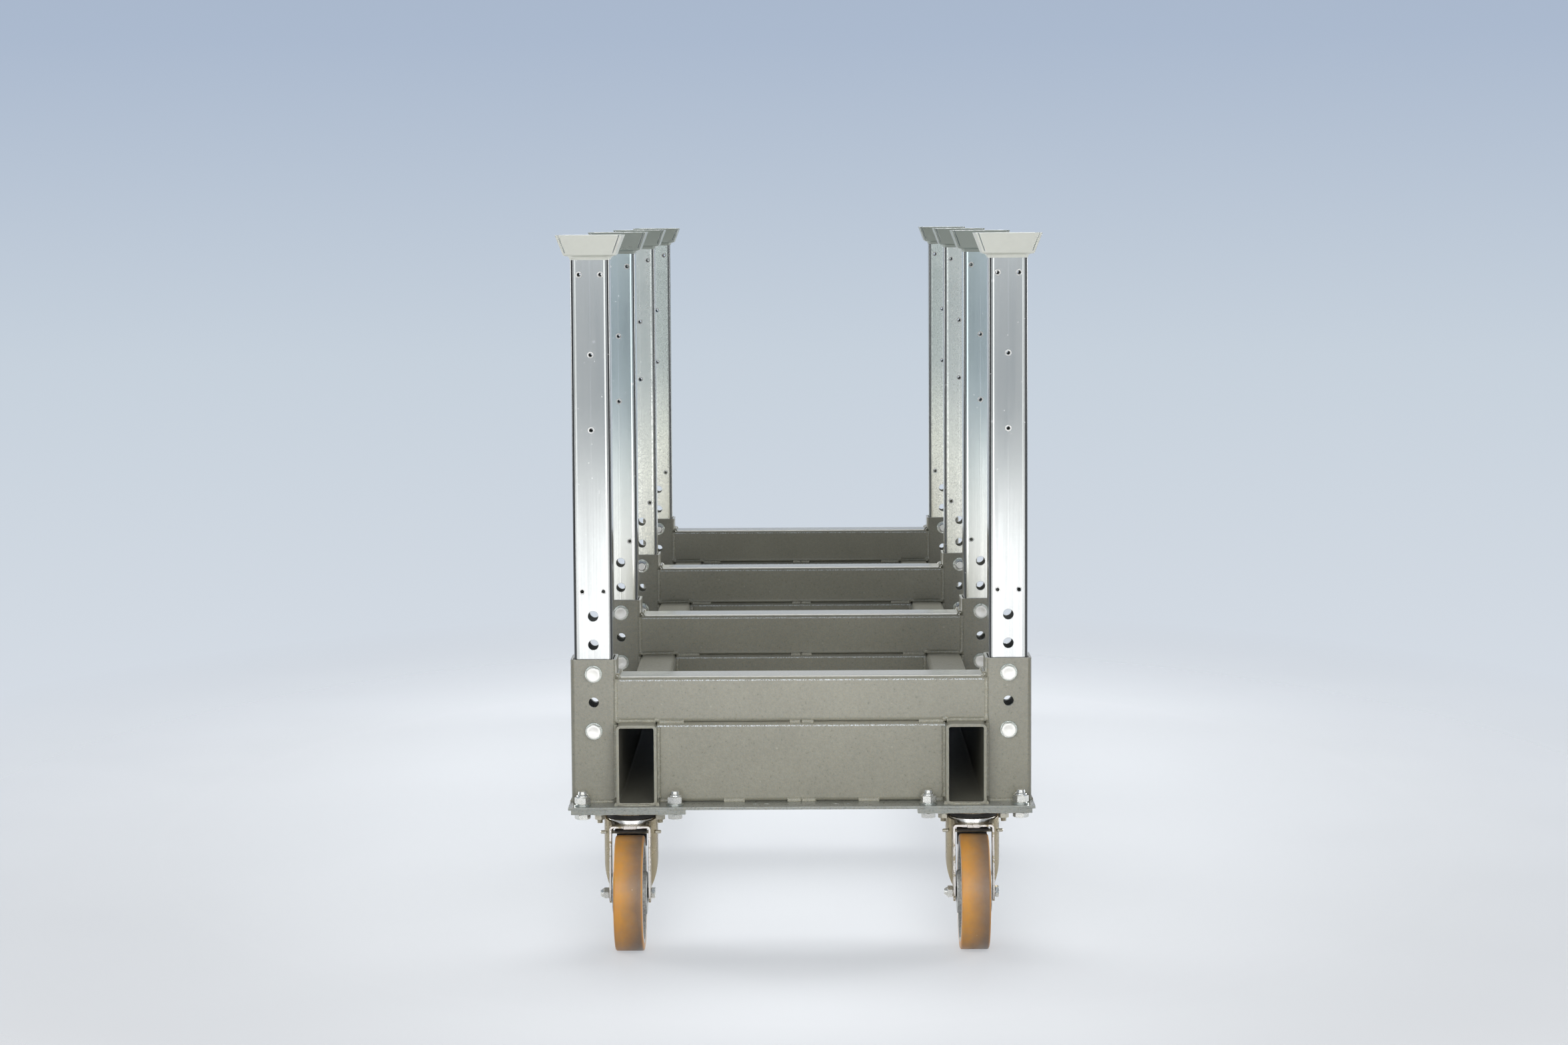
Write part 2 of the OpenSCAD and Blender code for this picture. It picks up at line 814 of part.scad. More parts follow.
module wheel_core(side, end) {
    color(cast_iron) at_axle(side, end) rotate_extrude() polygon(concat(core_half, core_other_half));
}

// The tread's outline, with round outer edges
tread_steps = 4;
tread_edge = [for (i = [0:tread_steps])
    let (a = 90 * i / tread_steps)
    [wheel_r - tread_round, wheel_w / 2 - tread_round] + tread_round * [sin(a), cos(a)]];
tread_outline = concat(
    [[wheel_r - tread_thick, -wheel_w / 2], [wheel_r - tread_thick, wheel_w / 2]],
    tread_edge,
    [for (i = [tread_steps:-1:0]) [tread_edge[i][0], -tread_edge[i][1]]]);

module tread(side, end) {
    color(amber) at_axle(side, end) rotate_extrude() polygon(tread_outline);
}

// Two ball bearings, each with a collar that keeps the hub clear of the fork
module bearings(side, end) {
    color(dark_steel)
        at_axle(side, end)
            for (flip = [0, 1]) mirror([0, 0, flip]) {
                translate([0, 0, hub_length / 2 - bearing_w])
                    washer(m12_r + running, bearing_r - bearing_press, bearing_w);
                translate([0, 0, hub_length / 2 - lap])
                    washer(m12_r + running, collar_r, cheek_x - fork_sheet - gap - hub_length / 2 + lap);
            }
}

// Everything is modelled about the frame's middle, then moved to the middle of the whole length
translate([0, mid_y, 0]) {
    for (i = [0, 1]) {
        longitudinal(sides[i]);
        sockets(sides[i]);
        post_caps(sides[i]);
        base_plate(sides[i]);
        swivel_plate(sides[i]);
        fork(sides[i]);
        axle_bolt_front(sides[i]);
        axle_nut_front(sides[i]);
        brake_pin(sides[i]);
        brake_pedal(sides[i]);
    }
    for (n = rows) {
        bolster(n);
        post(-1, n);
        post(1, n);
    }
    for (i = [0, 1], j = [0, 1]) {
        wheel_name = str(ends[j], "_", side_names[i]);
        wheel_core(sides[i], sides[j]);
        tread(sides[i], sides[j]);
        bearings(sides[i], sides[j]);
    }
    lower_cross_tubes();
    adapter_plates();
    post_bolts();
    post_washers();
    post_nuts();
    plate_bolts();
    plate_washers();
    plate_nuts();
    caster_screws();
    caster_washers();
    caster_nuts();
    swivel_ball_rings();
    kingpins();
    rear_fork_brackets();
    axle_bolts_rear();
    axle_nuts_rear();
}
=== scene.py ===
from collections import namedtuple
import json
import math

import bmesh
import bpy
from bpy.props import FloatProperty, FloatVectorProperty, IntProperty, PointerProperty
from mathutils import Matrix, Vector


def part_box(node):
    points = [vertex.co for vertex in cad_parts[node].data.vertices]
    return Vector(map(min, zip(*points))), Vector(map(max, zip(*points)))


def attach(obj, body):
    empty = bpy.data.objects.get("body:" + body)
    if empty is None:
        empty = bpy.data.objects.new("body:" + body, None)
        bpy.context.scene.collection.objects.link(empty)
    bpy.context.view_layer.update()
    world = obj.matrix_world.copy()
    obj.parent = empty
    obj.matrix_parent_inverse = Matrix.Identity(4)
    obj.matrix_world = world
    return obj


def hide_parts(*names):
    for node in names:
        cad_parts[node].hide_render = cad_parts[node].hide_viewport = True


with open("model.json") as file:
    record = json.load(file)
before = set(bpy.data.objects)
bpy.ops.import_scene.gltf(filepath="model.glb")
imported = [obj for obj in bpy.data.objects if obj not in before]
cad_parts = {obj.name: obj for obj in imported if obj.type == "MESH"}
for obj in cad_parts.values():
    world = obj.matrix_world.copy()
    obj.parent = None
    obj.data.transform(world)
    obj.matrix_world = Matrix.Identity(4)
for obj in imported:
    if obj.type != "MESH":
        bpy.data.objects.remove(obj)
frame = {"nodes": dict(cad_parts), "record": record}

bl_info = {
    "name": "Bar and pipe trolley",
    "version": (1, 0, 0),
    "blender": (4, 5, 0),
    "location": "View3D > Sidebar > Trolley",
    "description": "Dresses the packed bar and pipe trolley and sets its stage",
    "category": "Object",
}

NODES = frame["nodes"]
BODY_OF = {n: b for b, ns in frame["record"]["behaviour"]["bodies"].items() for n in ns}
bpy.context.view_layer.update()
MM = 0.001
SIDES = ("left", "right")
ENDS = ("front", "rear")
ROWS = (1, 2, 3, 4)
POSTS = [f"post_{side}_{n}" for side in SIDES for n in ROWS]
AXES = {"X": 0, "Y": 1, "Z": 2}
MERGE = 1e-5
BUILT = {}


def shared(builder):
    """What a builder makes, made the first time it is needed."""
    if builder not in BUILT:
        BUILT[builder] = builder()
    return BUILT[builder]


# Places read from the frame

def span(node, axis):
    """Lowest and highest value of a node along one axis."""
    return [corner[AXES[axis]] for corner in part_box(node)]


def half_of(node, axis):
    """Half of a node's length along one axis."""
    low, high = span(node, axis)
    return (high - low) / 2


def middle(node):
    """The middle of a node's box."""
    low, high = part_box(node)
    return (low + high) / 2


def merged(node):
    """A node's mesh as a bmesh with its loose triangles joined."""
    bm = bmesh.new()
    bm.from_mesh(NODES[node].data)
    bmesh.ops.remove_doubles(bm, verts=bm.verts, dist=MERGE)
    return bm


def loose_parts(node):
    """The points of each loose solid of a node."""
    bm = merged(node)
    todo = set(bm.verts)
    while todo:
        heap, points = [todo.pop()], []
        while heap:
            vert = heap.pop()
            points.append(vert.co.copy())
            near = {edge.other_vert(vert) for edge in vert.link_edges} & todo
            todo -= near
            heap += near
        yield points
    bm.free()


# Where a fastener bears, where its head or collar points, and its sizes
Seat = namedtuple("Seat", "place axis thick across whole radius")


def seats_of(node, axis):
    """The seat of each fastener of a node, in the order of their places."""
    a = AXES[axis]
    b, c = (k for k in range(3) if k != a)
    seats = []
    for points in loose_parts(node):
        low, high = (Vector(pick(p[k] for p in points) for k in range(3)) for pick in (min, max))
        centre = (low + high) / 2
        reach = [math.hypot(p[b] - centre[b], p[c] - centre[c]) for p in points]
        radius = max(reach)
        wide = [p[a] for p, r in zip(points, reach) if r > radius - 0.1 * MM]
        whole = high[a] - low[a]
        outward = 1 if min(wide) + max(wide) > low[a] + high[a] else -1
        is_nut = whole < 2 * radius
        if is_nut:
            outward = -outward
        place, direction = centre.copy(), Vector((0, 0, 0))
        place[a] = min(wide) if outward > 0 else max(wide)
        direction[a] = outward
        seat = Seat(place, direction, max(wide) - min(wide), radius * math.sqrt(3), whole, radius)
        seats.append((tuple(round(v, 4) for v in centre), seat))
    return [seat for _, seat in sorted(seats, key=lambda entry: entry[0])]


# Meshes

def mesh_of(name, bm):
    """A bmesh turned into a mesh, and freed."""
    mesh = bpy.data.meshes.new(name)
    bm.to_mesh(mesh)
    bm.free()
    return mesh


def add_object(name, mesh, material=None):
    obj = bpy.data.objects.new(name, mesh)
    bpy.context.scene.collection.objects.link(obj)
    if material is not None:
        mesh.materials.clear()
        mesh.materials.append(material)
    return obj


def settle(obj):
    """Turns what the modifiers make into the object's own plain mesh."""
    graph = bpy.context.evaluated_depsgraph_get()
    result = bpy.data.meshes.new_from_object(obj.evaluated_get(graph))
    result.name = obj.name
    old = obj.data
    obj.modifiers.clear()
    obj.data = result
    bpy.data.meshes.remove(old)
    return obj


def smooth_up_to(mesh, angle):
    """Smooth shading, with sharp edges where faces turn by more than an angle."""
    mesh.shade_smooth()
    mesh.set_sharp_from_angle(angle=math.radians(angle))


def dress(obj, body, slot, *nodes):
    """Puts a finished piece on its body and hides the nodes that it stands for."""
    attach(obj, body)
    if nodes:
        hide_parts(*nodes)
    return obj


# Faces that turn by less than FLAT are one face, and an edge that turns by more than SHARP is
# rounded
FLAT, SHARP = math.radians(0.4), math.radians(30)
# The "edge" value of faces that a cut or a drill left bare, which the finishes paint brighter as a
# highlight, where rounded edges have 1
CUT_SHINE = 4.0


def rounded_copy(node, suffix, material, slot, width, bright=None, glint=None):
    """A copy of a node with rounded sharp edges, whose new faces carry the value "edge"."""
    bm = merged(node)
    edge_mark = bm.faces.layers.float.new("edge")
    glint_mark = bm.faces.layers.float.new("glint")
    for face in bm.faces:
        if bright and bright(face):
            face[edge_mark] = CUT_SHINE
        if glint and glint(face):
            face[glint_mark] = 1.0
    bmesh.ops.dissolve_limit(bm, angle_limit=FLAT, verts=bm.verts, edges=bm.edges)
    sharp = [e for e in bm.edges if len(e.link_faces) == 2 and e.calc_face_angle(0) > SHARP]
    made = bmesh.ops.bevel(
        bm, geom=sharp, offset=width, segments=2, profile=0.5, affect="EDGES", clamp_overlap=False)
    for face in made["faces"]:
        face[edge_mark] = 1.0
    name = f"{node}_{suffix}"
    obj = add_object(name, mesh_of(name, bm), material)
    smooth_up_to(obj.data, 50)
    weighted = obj.modifiers.new("Flat faces stay flat", "WEIGHTED_NORMAL")
    weighted.keep_sharp = True
    return dress(settle(obj), BODY_OF[node], slot, node)


def map_section(obj, centre):
    """A UV map with each corner's place in the tube's cross section, in metres from its middle."""
    mesh = obj.data
    layer = mesh.uv_layers.new(name="section")
    for loop in mesh.loops:
        place = mesh.vertices[loop.vertex_index].co - centre
        layer.data[loop.index].uv = place.x, place.y


# Points of a ring: a multiple of six, so that a hexagon's corners fall on points
RING_STEPS = 24


def ring(radius, height, across=0.0, fall=0.0):
    """Points round the Z axis: a circle, or a hexagon whose corners fall away as a chamfer does."""
    points = []
    for k in range(RING_STEPS):
        turn = 2 * math.pi * k / RING_STEPS
        r, z = radius, height
        if across:
            r = across / 2 / math.cos(turn % (math.pi / 3) - math.pi / 6)
            z = height - (r - radius) * fall
        points.append(Vector((r * math.cos(turn), r * math.sin(turn), z)))
    return points


def skin(name, rings, loop=False, angle=35, marks=()):
    """A closed skin over rings of points. Rings of no radius become poles."""
    bm = bmesh.new()
    mark = bm.faces.layers.float.new("edge")
    rows = [[bm.verts.new(p) for p in points] for points in rings]
    pairs = list(zip(rows, rows[1:] + rows[:1]))
    for index, (one, two) in enumerate(pairs if loop else pairs[:-1]):
        for k in range(len(one)):
            n = (k + 1) % len(one)
            face = bm.faces.new((one[k], one[n], two[n], two[k]))
            if index in marks:
                face[mark] = 1.0
    bmesh.ops.remove_doubles(bm, verts=bm.verts, dist=MERGE)
    bmesh.ops.recalc_face_normals(bm, faces=bm.faces)
    mesh = mesh_of(name, bm)
    smooth_up_to(mesh, angle)
    return mesh


def turned(name, outline, centre, axis, material, steps=64, angle=35):
    """A solid turned about an axis through a point, from radius and distance along it."""
    rings = []
    for radius, along in outline:
        points = []
        for k in range(steps):
            turn = 2 * math.pi * k / steps
            u, v = radius * math.cos(turn), radius * math.sin(turn)
            local = {"X": (along, u, v), "Y": (u, along, v), "Z": (u, v, along)}[axis]
            points.append(centre + Vector(local))
        rings.append(points)
    return add_object(name, skin(name, rings, loop=True, angle=angle), material)


# Fasteners for one seat each: bearing face at the origin, head or collar along +Z

# Lengths of thread, and a thread's depth as a share of its pitch
BOLT_THREAD, SCREW_THREAD = 14 * MM, 9 * MM
THREAD_DEPTH = 0.45


def thread_rings(radius, pitch, start, end):
    """Crests and roots of a thread, and its tapered tip, from start down to end."""
    root = radius - THREAD_DEPTH * pitch
    turns = max(1, int((start - end - pitch) / pitch))
    rings = []
    for k in range(turns):
        z = start - k * pitch
        rings += [ring(radius, z), ring(root, z - pitch / 2)]
    return rings + [ring(radius, start - turns * pitch), ring(root, end), ring(0, end)]


def bolt_mesh(name, seat, radius, pitch):
    """A hexagon bolt with a washer face and a hollow in its head."""
    across, head = seat.across, seat.thick
    top, foot, tip = across * 0.47, across * 0.475, head - seat.whole
    rings = [
        ring(0, head - 0.7 * MM), ring(top * 0.62, head - 0.7 * MM), ring(top * 0.74, head),
        ring(top, head), ring(top, head, across, 0.5), ring(top, 1.1 * MM, across, -0.3),
        ring(foot, 0.7 * MM), ring(foot, 0), ring(radius, 0), ring(radius, tip + BOLT_THREAD),
    ]
    # The chamfer band is marked "edge", which the post bolts' finish paints darker as a painted
    # shade
    return skin(name, rings + thread_rings(radius, pitch, tip + BOLT_THREAD, tip), marks={3})


def nut_mesh(name, seat, bore):
    """A lock nut with a collar that is rolled in over its insert."""
    across, thick, whole = seat.across, seat.thick, seat.whole
    collar, top, foot = across / 2 - 1 * MM, across * 0.47, across * 0.475
    rings = [
        ring(bore, 0.8 * MM), ring(bore + 0.6 * MM, 0), ring(foot, 0), ring(foot, 0.5 * MM),
        ring(top, 0.9 * MM, across, -0.4), ring(top, thick, across, 0.5), ring(top, thick),
        ring(collar - 0.4 * MM, thick + 0.4 * MM), ring(collar - 0.4 * MM, whole - 1.2 * MM),
        ring(collar - 0.9 * MM, whole - 0.3 * MM), ring(collar - 1.7 * MM, whole),
        ring(bore + 0.9 * MM, whole - 0.4 * MM), ring(bore + 0.9 * MM, whole - 1.6 * MM),
        ring(bore, whole - 1.6 * MM),
    ]
    return skin(name, rings, loop=True)


def insert_mesh(name, seat, bore):
    """The ring of nylon in a lock nut's collar."""
    whole = seat.whole
    rings = [
        ring(bore, whole - 1.6 * MM), ring(bore + 0.85 * MM, whole - 1.6 * MM),
        ring(bore + 0.85 * MM, whole - 0.6 * MM), ring(bore + 0.2 * MM, whole - 0.9 * MM),
    ]
    return skin(name, rings, loop=True)


def washer_mesh(name, seat, inner):
    """A flat washer with broken edges."""
    c, outer, thick = 0.35 * MM, seat.radius, seat.whole
    rings = [
        ring(inner, c), ring(inner + c, 0), ring(outer - c, 0), ring(outer, c),
        ring(outer, thick - c), ring(outer - c, thick), ring(inner + c, thick),
        ring(inner, thick - c),
    ]
    return skin(name, rings, loop=True)


def screw_mesh(name, seat, radius, pitch):
    """A countersunk screw, flush at the origin and pointing down."""
    head, tip = seat.radius, -seat.whole
    rings = [
        ring(0, -2 * MM), ring(radius * 0.45, -2 * MM), ring(radius * 0.55, 0),
        ring(head - 0.2 * MM, 0), ring(head, -0.3 * MM), ring(radius, -0.5 * MM - head + radius),
        ring(radius, tip + SCREW_THREAD),
    ]
    return skin(name, rings + thread_rings(radius, pitch, tip + SCREW_THREAD, tip))


def plain_nut_mesh(name, seat, bore):
    """A plain hexagon nut with chamfers on both faces."""
    across, thick, top = seat.across, seat.whole, seat.across * 0.47
    rings = [
        ring(bore, 0.6 * MM), ring(bore + 0.6 * MM, 0), ring(top, 0), ring(top, 0, across, -0.5),
        ring(top, thick, across, 0.5), ring(top, thick), ring(bore + 0.6 * MM, thick),
        ring(bore, thick - 0.6 * MM),
    ]
    return skin(name, rings, loop=True)


# Node trees

SOCKET_OF = {float: "Float", int: "Int", tuple: "Vector"}


class Tree:
    """Adds nodes to one node tree in few words."""

    def __init__(self, tree):
        self.tree = tree

    def join(self, value, target):
        """Links a socket to an input, or sets the input to a plain value."""
        if isinstance(value, bpy.types.NodeSocket):
            self.tree.links.new(value, target)
        else:
            target.default_value = value

    def put(self, kind, inputs=None, **settings):
        """Adds a node, sets its properties, and sets or links its inputs."""
        made = self.tree.nodes.new(kind)
        for key, value in settings.items():
            setattr(made, key, value)
        for key, value in (inputs or {}).items():
            self.join(value, made.inputs[key])
        return made

    def calc(self, operation, *values, clamp=False):
        """One arithmetic step, as its output."""
        values = dict(enumerate(values))
        made = self.put("ShaderNodeMath", values, operation=operation, use_clamp=clamp)
        return made.outputs[0]

    def times(self, first, second):
        """The first value times the second."""
        return self.calc("MULTIPLY", first, second)

    def times_plus(self, first, second, third):
        """The first value times the second, plus the third."""
        return self.calc("MULTIPLY_ADD", first, second, third)

    def mix(self, factor, first, second, blend="MIX"):
        """Mixes two colours."""
        values = {0: factor, 6: first, 7: second}
        made = self.put("ShaderNodeMix", values, data_type="RGBA", blend_type=blend)
        return made.outputs[2]

    def remap(self, value, low, high, to_low=0.0, to_high=1.0):
        """A value moved from one range to another and held inside it."""
        return self.put("ShaderNodeMapRange", {
            "Value": value, "From Min": low, "From Max": high, "To Min": to_low, "To Max": to_high,
        }).outputs[0]

    def ramp(self, value, stops, interpolation="LINEAR"):
        """A colour picked by a value from stops in order, each a place and a colour."""
        made = self.put("ShaderNodeValToRGB", {0: value})
        made.color_ramp.interpolation = interpolation
        elements = made.color_ramp.elements
        for end in (0, -1):
            elements[end].position, elements[end].color = stops[end]
        for place, colour in stops[1:-1]:
            elements.new(place).color = colour
        return made.outputs[0]

    def noise(self, where, scale, detail=2.0, roughness=0.5):
        """A noise value at a place, or at the node's own position for no place."""
        values = {"Scale": scale, "Detail": detail, "Roughness": roughness}
        if where is not None:
            values["Vector"] = where
        return self.put("ShaderNodeTexNoise", values).outputs[0]

    def vector(self, operation, inputs):
        """One step of vector arithmetic, as its outputs."""
        return self.put("ShaderNodeVectorMath", inputs, operation=operation).outputs

    def place(self):
        """The place on the object, in its own coordinates."""
        return self.put("ShaderNodeTexCoord").outputs["Object"]

    def split(self, vector):
        """The three parts of a vector."""
        return self.put("ShaderNodeSeparateXYZ", {0: vector}).outputs

    def mark(self, name):
        """A value that the mesh carries."""
        return self.put("ShaderNodeAttribute", attribute_name=name).outputs["Fac"]

    def first_channel(self, colour):
        """One channel of a colour, as a value."""
        return self.put("ShaderNodeSeparateColor", {0: colour}).outputs[0]

    def group(self, builder, **values):
        """Places a shared effect with its own values."""
        made = self.put("ShaderNodeGroup", node_tree=shared(builder))
        for key, value in values.items():
            self.join(value, made.inputs[key.replace("_", " ")])
        return made.outputs


def new_tree(name, kind, inputs, outputs):
    """A node group. A socket is given by its default, or by its type where it has none."""
    tree = bpy.data.node_groups.new(name, kind)
    for side, sockets in (("INPUT", inputs), ("OUTPUT", outputs)):
        for label, value in sockets.items():
            typed = isinstance(value, str)
            socket_type = "NodeSocket" + (value if typed else SOCKET_OF[type(value)])
            made = tree.interface.new_socket(name=label, in_out=side, socket_type=socket_type)
            if not typed:
                made.default_value = value
    t = Tree(tree)
    return t, t.put("NodeGroupInput").outputs, t.put("NodeGroupOutput").inputs


# Geometry Nodes

def end_solid(t, geometry, given, result):
    """Ends a tree in real geometry with its material."""
    real = t.put("GeometryNodeRealizeInstances", {"Geometry": geometry})
    done = t.put("GeometryNodeSetMaterial", {
        "Geometry": real.outputs["Geometry"], "Material": given["Material"],
    })
    t.join(done.outputs["Geometry"], result["Geometry"])
    return t.tree


def scatter_tree():
    """One fastener on every seat, turned at random about its axis."""
    t, given, result = new_tree("Fasteners on seats", "GeometryNodeTree", {
        "Geometry": "Geometry", "Fastener": "Object", "Material": "Material",
        "Roll": math.tau, "Seed": 1,
    }, {"Geometry": "Geometry"})
    shape = t.put("GeometryNodeObjectInfo", {"Object": given["Fastener"]})
    direction = t.put(
        "GeometryNodeInputNamedAttribute", {"Name": "axis"}, data_type="FLOAT_VECTOR")
    aligned = t.put(
        "FunctionNodeAlignRotationToVector", {"Vector": direction.outputs["Attribute"]}, axis="Z")
    placed = t.put("GeometryNodeInstanceOnPoints", {
        "Points": given["Geometry"], "Instance": shape.outputs["Geometry"],
        "Rotation": aligned.outputs["Rotation"],
    })
    chance = t.put("FunctionNodeRandomValue", {"Seed": given["Seed"]}, data_type="FLOAT")
    turn = t.put("ShaderNodeCombineXYZ", {"Z": t.times(chance.outputs[1], given["Roll"])})
    euler = t.put("FunctionNodeEulerToRotation", {"Euler": turn.outputs[0]})
    rolled = t.put("GeometryNodeRotateInstances", {
        "Instances": placed.outputs["Instances"], "Rotation": euler.outputs["Rotation"],
    })
    return end_solid(t, rolled.outputs["Instances"], given, result)


# A bead swells where it is further from its middle than this share of its length, and how
# steeply; the size of its slow unevenness; and the height of its grain
SWELL_START, SWELL_RISE = 0.44, 16.0
WOBBLE_SCALE = 60.0
GRAIN_HEIGHT = 1.2 * MM


def bead_tree():
    """Weld beads along edges, rippled and a little uneven, thicker at their ends."""
    t, given, result = new_tree("Weld beads on lines", "GeometryNodeTree", {
        "Geometry": "Geometry", "Material": "Material", "Step": 0.0016, "Ripple": 0.1,
        "Unevenness": 0.25, "End Swell": 0.25, "Roughness Size": 240.0,
    }, {"Geometry": "Geometry"})
    curve = t.put("GeometryNodeMeshToCurve", {"Mesh": given["Geometry"]})
    fine = t.put("GeometryNodeResampleCurve", {
        "Curve": curve.outputs["Curve"], "Length": given["Step"],
    }, mode="LENGTH")
    along = t.put("GeometryNodeSplineParameter")
    parity = t.calc("MODULO", along.outputs["Index"], 2.0)
    ripple = t.times_plus(parity, given["Ripple"], 1.0)
    from_middle = t.calc("ABSOLUTE", t.calc("SUBTRACT", along.outputs["Factor"], 0.5))
    past = t.calc("SUBTRACT", from_middle, SWELL_START)
    near_end = t.calc("MULTIPLY", past, SWELL_RISE, clamp=True)
    swell = t.times_plus(near_end, given["End Swell"], 1.0)
    wobble = t.calc("SUBTRACT", t.noise(None, WOBBLE_SCALE, 1.0), 0.5)
    uneven = t.times_plus(wobble, given["Unevenness"], 1.0)
    size = t.put("GeometryNodeInputNamedAttribute", {"Name": "size"}, data_type="FLOAT")
    radius = t.times(t.times(t.times(size.outputs["Attribute"], ripple), swell), uneven)
    sized = t.put(
        "GeometryNodeSetCurveRadius", {"Curve": fine.outputs["Curve"], "Radius": radius})
    profile = t.put("GeometryNodeCurvePrimitiveCircle", {"Resolution": 8, "Radius": 1.0})
    tube = t.put("GeometryNodeCurveToMesh", {
        "Curve": sized.outputs["Curve"], "Profile Curve": profile.outputs["Curve"],
        "Scale": t.put("GeometryNodeInputRadius").outputs[0], "Fill Caps": True,
    })
    grain = t.calc("SUBTRACT", t.noise(None, given["Roughness Size"], 1.0), 0.5)
    offset = t.vector("SCALE", {
        0: t.put("GeometryNodeInputNormal").outputs[0], "Scale": t.times(grain, GRAIN_HEIGHT),
    })
    rough = t.put("GeometryNodeSetPosition", {
        "Geometry": tube.outputs["Mesh"], "Offset": offset[0],
    })
    smooth = t.put("GeometryNodeSetShadeSmooth", {"Geometry": rough.outputs["Geometry"]})
    return end_solid(t, smooth.outputs[0], given, result)


def grow(name, points_mesh, tree, **values):
    """Runs a tree on a mesh and gives the plain result as an object."""
    obj = add_object(name, points_mesh)
    modifier = obj.modifiers.new(tree.name, "NODES")
    modifier.node_group = tree
    for item in tree.interface.items_tree:
        if item.in_out == "INPUT" and item.name in values:
            modifier[item.identifier] = values[item.name]
    return settle(obj)


def scatter(name, proto, seats, material, seed):
    """One fastener mesh on every seat, as one mesh."""
    mesh = bpy.data.meshes.new(name)
    mesh.from_pydata([s.place for s in seats], [], [])
    axis = mesh.attributes.new("axis", "FLOAT_VECTOR", "POINT")
    axis.data.foreach_set("vector", [v for s in seats for v in s.axis])
    shape = add_object(name + "_shape", proto)
    obj = grow(name, mesh, shared(scatter_tree), Fastener=shape, Material=material, Seed=seed)
    bpy.data.objects.remove(shape)
    return obj


def beads(name, lines, material):
    """Weld beads along straight lines: (start, end, radius), in metres."""
    mesh = bpy.data.meshes.new(name)
    points, edges, sizes = [], [], []
    for start, end, size in lines:
        edges.append((len(points), len(points) + 1))
        points += [start, end]
        sizes += [size, size]
    mesh.from_pydata(points, edges, [])
    mesh.attributes.new("size", "FLOAT", "POINT").data.foreach_set("value", sizes)
    return grow(name, mesh, shared(bead_tree), Material=material)


# Shared effects, as shader groups that any finish may use

def effect(name, inputs, outputs):
    """A shader group whose outputs are all single values."""
    return new_tree(name, "ShaderNodeTree", inputs, {label: "Float" for label in outputs})


def hammer_group():
    """Hammer paint: small shallow cells that change tone and height."""
    t, given, result = effect(
        "Hammer finish", {"Cell Scale": 300.0, "Contrast": 0.3}, ("Tone", "Relief"))
    where = t.place()
    warp = t.noise(where, given["Cell Scale"])
    half = t.times(given["Cell Scale"], 0.5)
    cells = t.put("ShaderNodeTexVoronoi", {"Vector": where, "Scale": half}, feature="SMOOTH_F1")
    relief = t.times_plus(cells.outputs["Distance"], 0.5, warp)
    patch = t.noise(where, 7.0, 3.0)
    spread = t.calc("SUBTRACT", t.times_plus(relief, 1.0, patch), 1.25)
    t.join(t.times_plus(spread, given["Contrast"], 1.0), result["Tone"])
    t.join(relief, result["Relief"])
    return t.tree


def edge_wear_and_highlight_group():
    """Marked edges in a tone of their own, partly rubbed wear and partly painted light: the faces
    marked "edge", broken up by noise.
    """
    t, given, result = effect("Rubbed edges", {"Amount": 0.5, "Break Up": 60.0}, ("Mask",))
    where = t.place()
    edge = t.mark("edge")
    broken = t.remap(t.noise(where, given["Break Up"], 4.0, 0.6), 0.38, 0.6)
    t.join(t.times(t.times(edge, broken), given["Amount"]), result["Mask"])
    return t.tree


def dust_group():
    """Dust that lies on faces that look up, in patches."""
    t, given, result = effect("Settled dust", {"Amount": 0.3}, ("Mask",))
    coords = t.put("ShaderNodeTexCoord").outputs
    level = t.remap(t.split(coords["Normal"])[2], 0.4, 0.95)
    patches = t.remap(t.noise(coords["Object"], 18.0, 5.0, 0.65), 0.3, 0.7, 0.35, 1.0)
    t.join(t.times(t.times(level, patches), given["Amount"]), result["Mask"])
    return t.tree


def streak_group():
    """Streaks along one direction, as rolling or turning leaves them."""
    t, given, result = effect("Drawn streaks", {
        "Scale": (250.0, 250.0, 3.0), "Broad Scale": (30.0, 30.0, 1.5),
    }, ("Fine", "Broad"))
    where = t.place()
    for label, scale in (("Fine", "Scale"), ("Broad", "Broad Scale")):
        drawn = t.vector("MULTIPLY", {0: where, 1: given[scale]})[0]
        t.join(t.noise(drawn, 1.0, 3.0, 0.55), result[label])
    return t.tree


def speck_group():
    """Small scattered specks and scuffs."""
    t, given, result = effect("Specks", {"Scale": 90.0, "Share": 0.12}, ("Mask",))
    cells = t.put("ShaderNodeTexVoronoi", {"Vector": t.place(), "Scale": given["Scale"]}).outputs
    near = t.remap(cells["Distance"], 0.05, 0.18, 1.0, 0.0)
    chosen = t.calc("LESS_THAN", t.first_channel(cells["Color"]), given["Share"])
    t.join(t.times(near, chosen), result["Mask"])
    return t.tree


# Finishes

class Finish(Tree):
    """A new material with its nodes and its Principled shader."""

    def __init__(self, name):
        self.material = bpy.data.materials.new(name)
        self.material.use_nodes = True
        super().__init__(self.material.node_tree)
        self.shader = self.tree.nodes["Principled BSDF"]

    def give(self, **values):
        """Sets or links inputs of the Principled shader."""
        for key, value in values.items():
            self.join(value, self.shader.inputs[key.replace("_", " ")])

    def raised(self, height, distance=1.0):
        """Gives the surface its relief, and hands over the finished material."""
        bump = self.put("ShaderNodeBump", {"Height": height, "Distance": distance})
        self.give(Normal=bump.outputs[0])
        return self.material


def colour4(value, factor=1.0):
    """A colour, lighter or darker by a factor, with full alpha."""
    return (*(part * factor for part in value[:3]), 1.0)


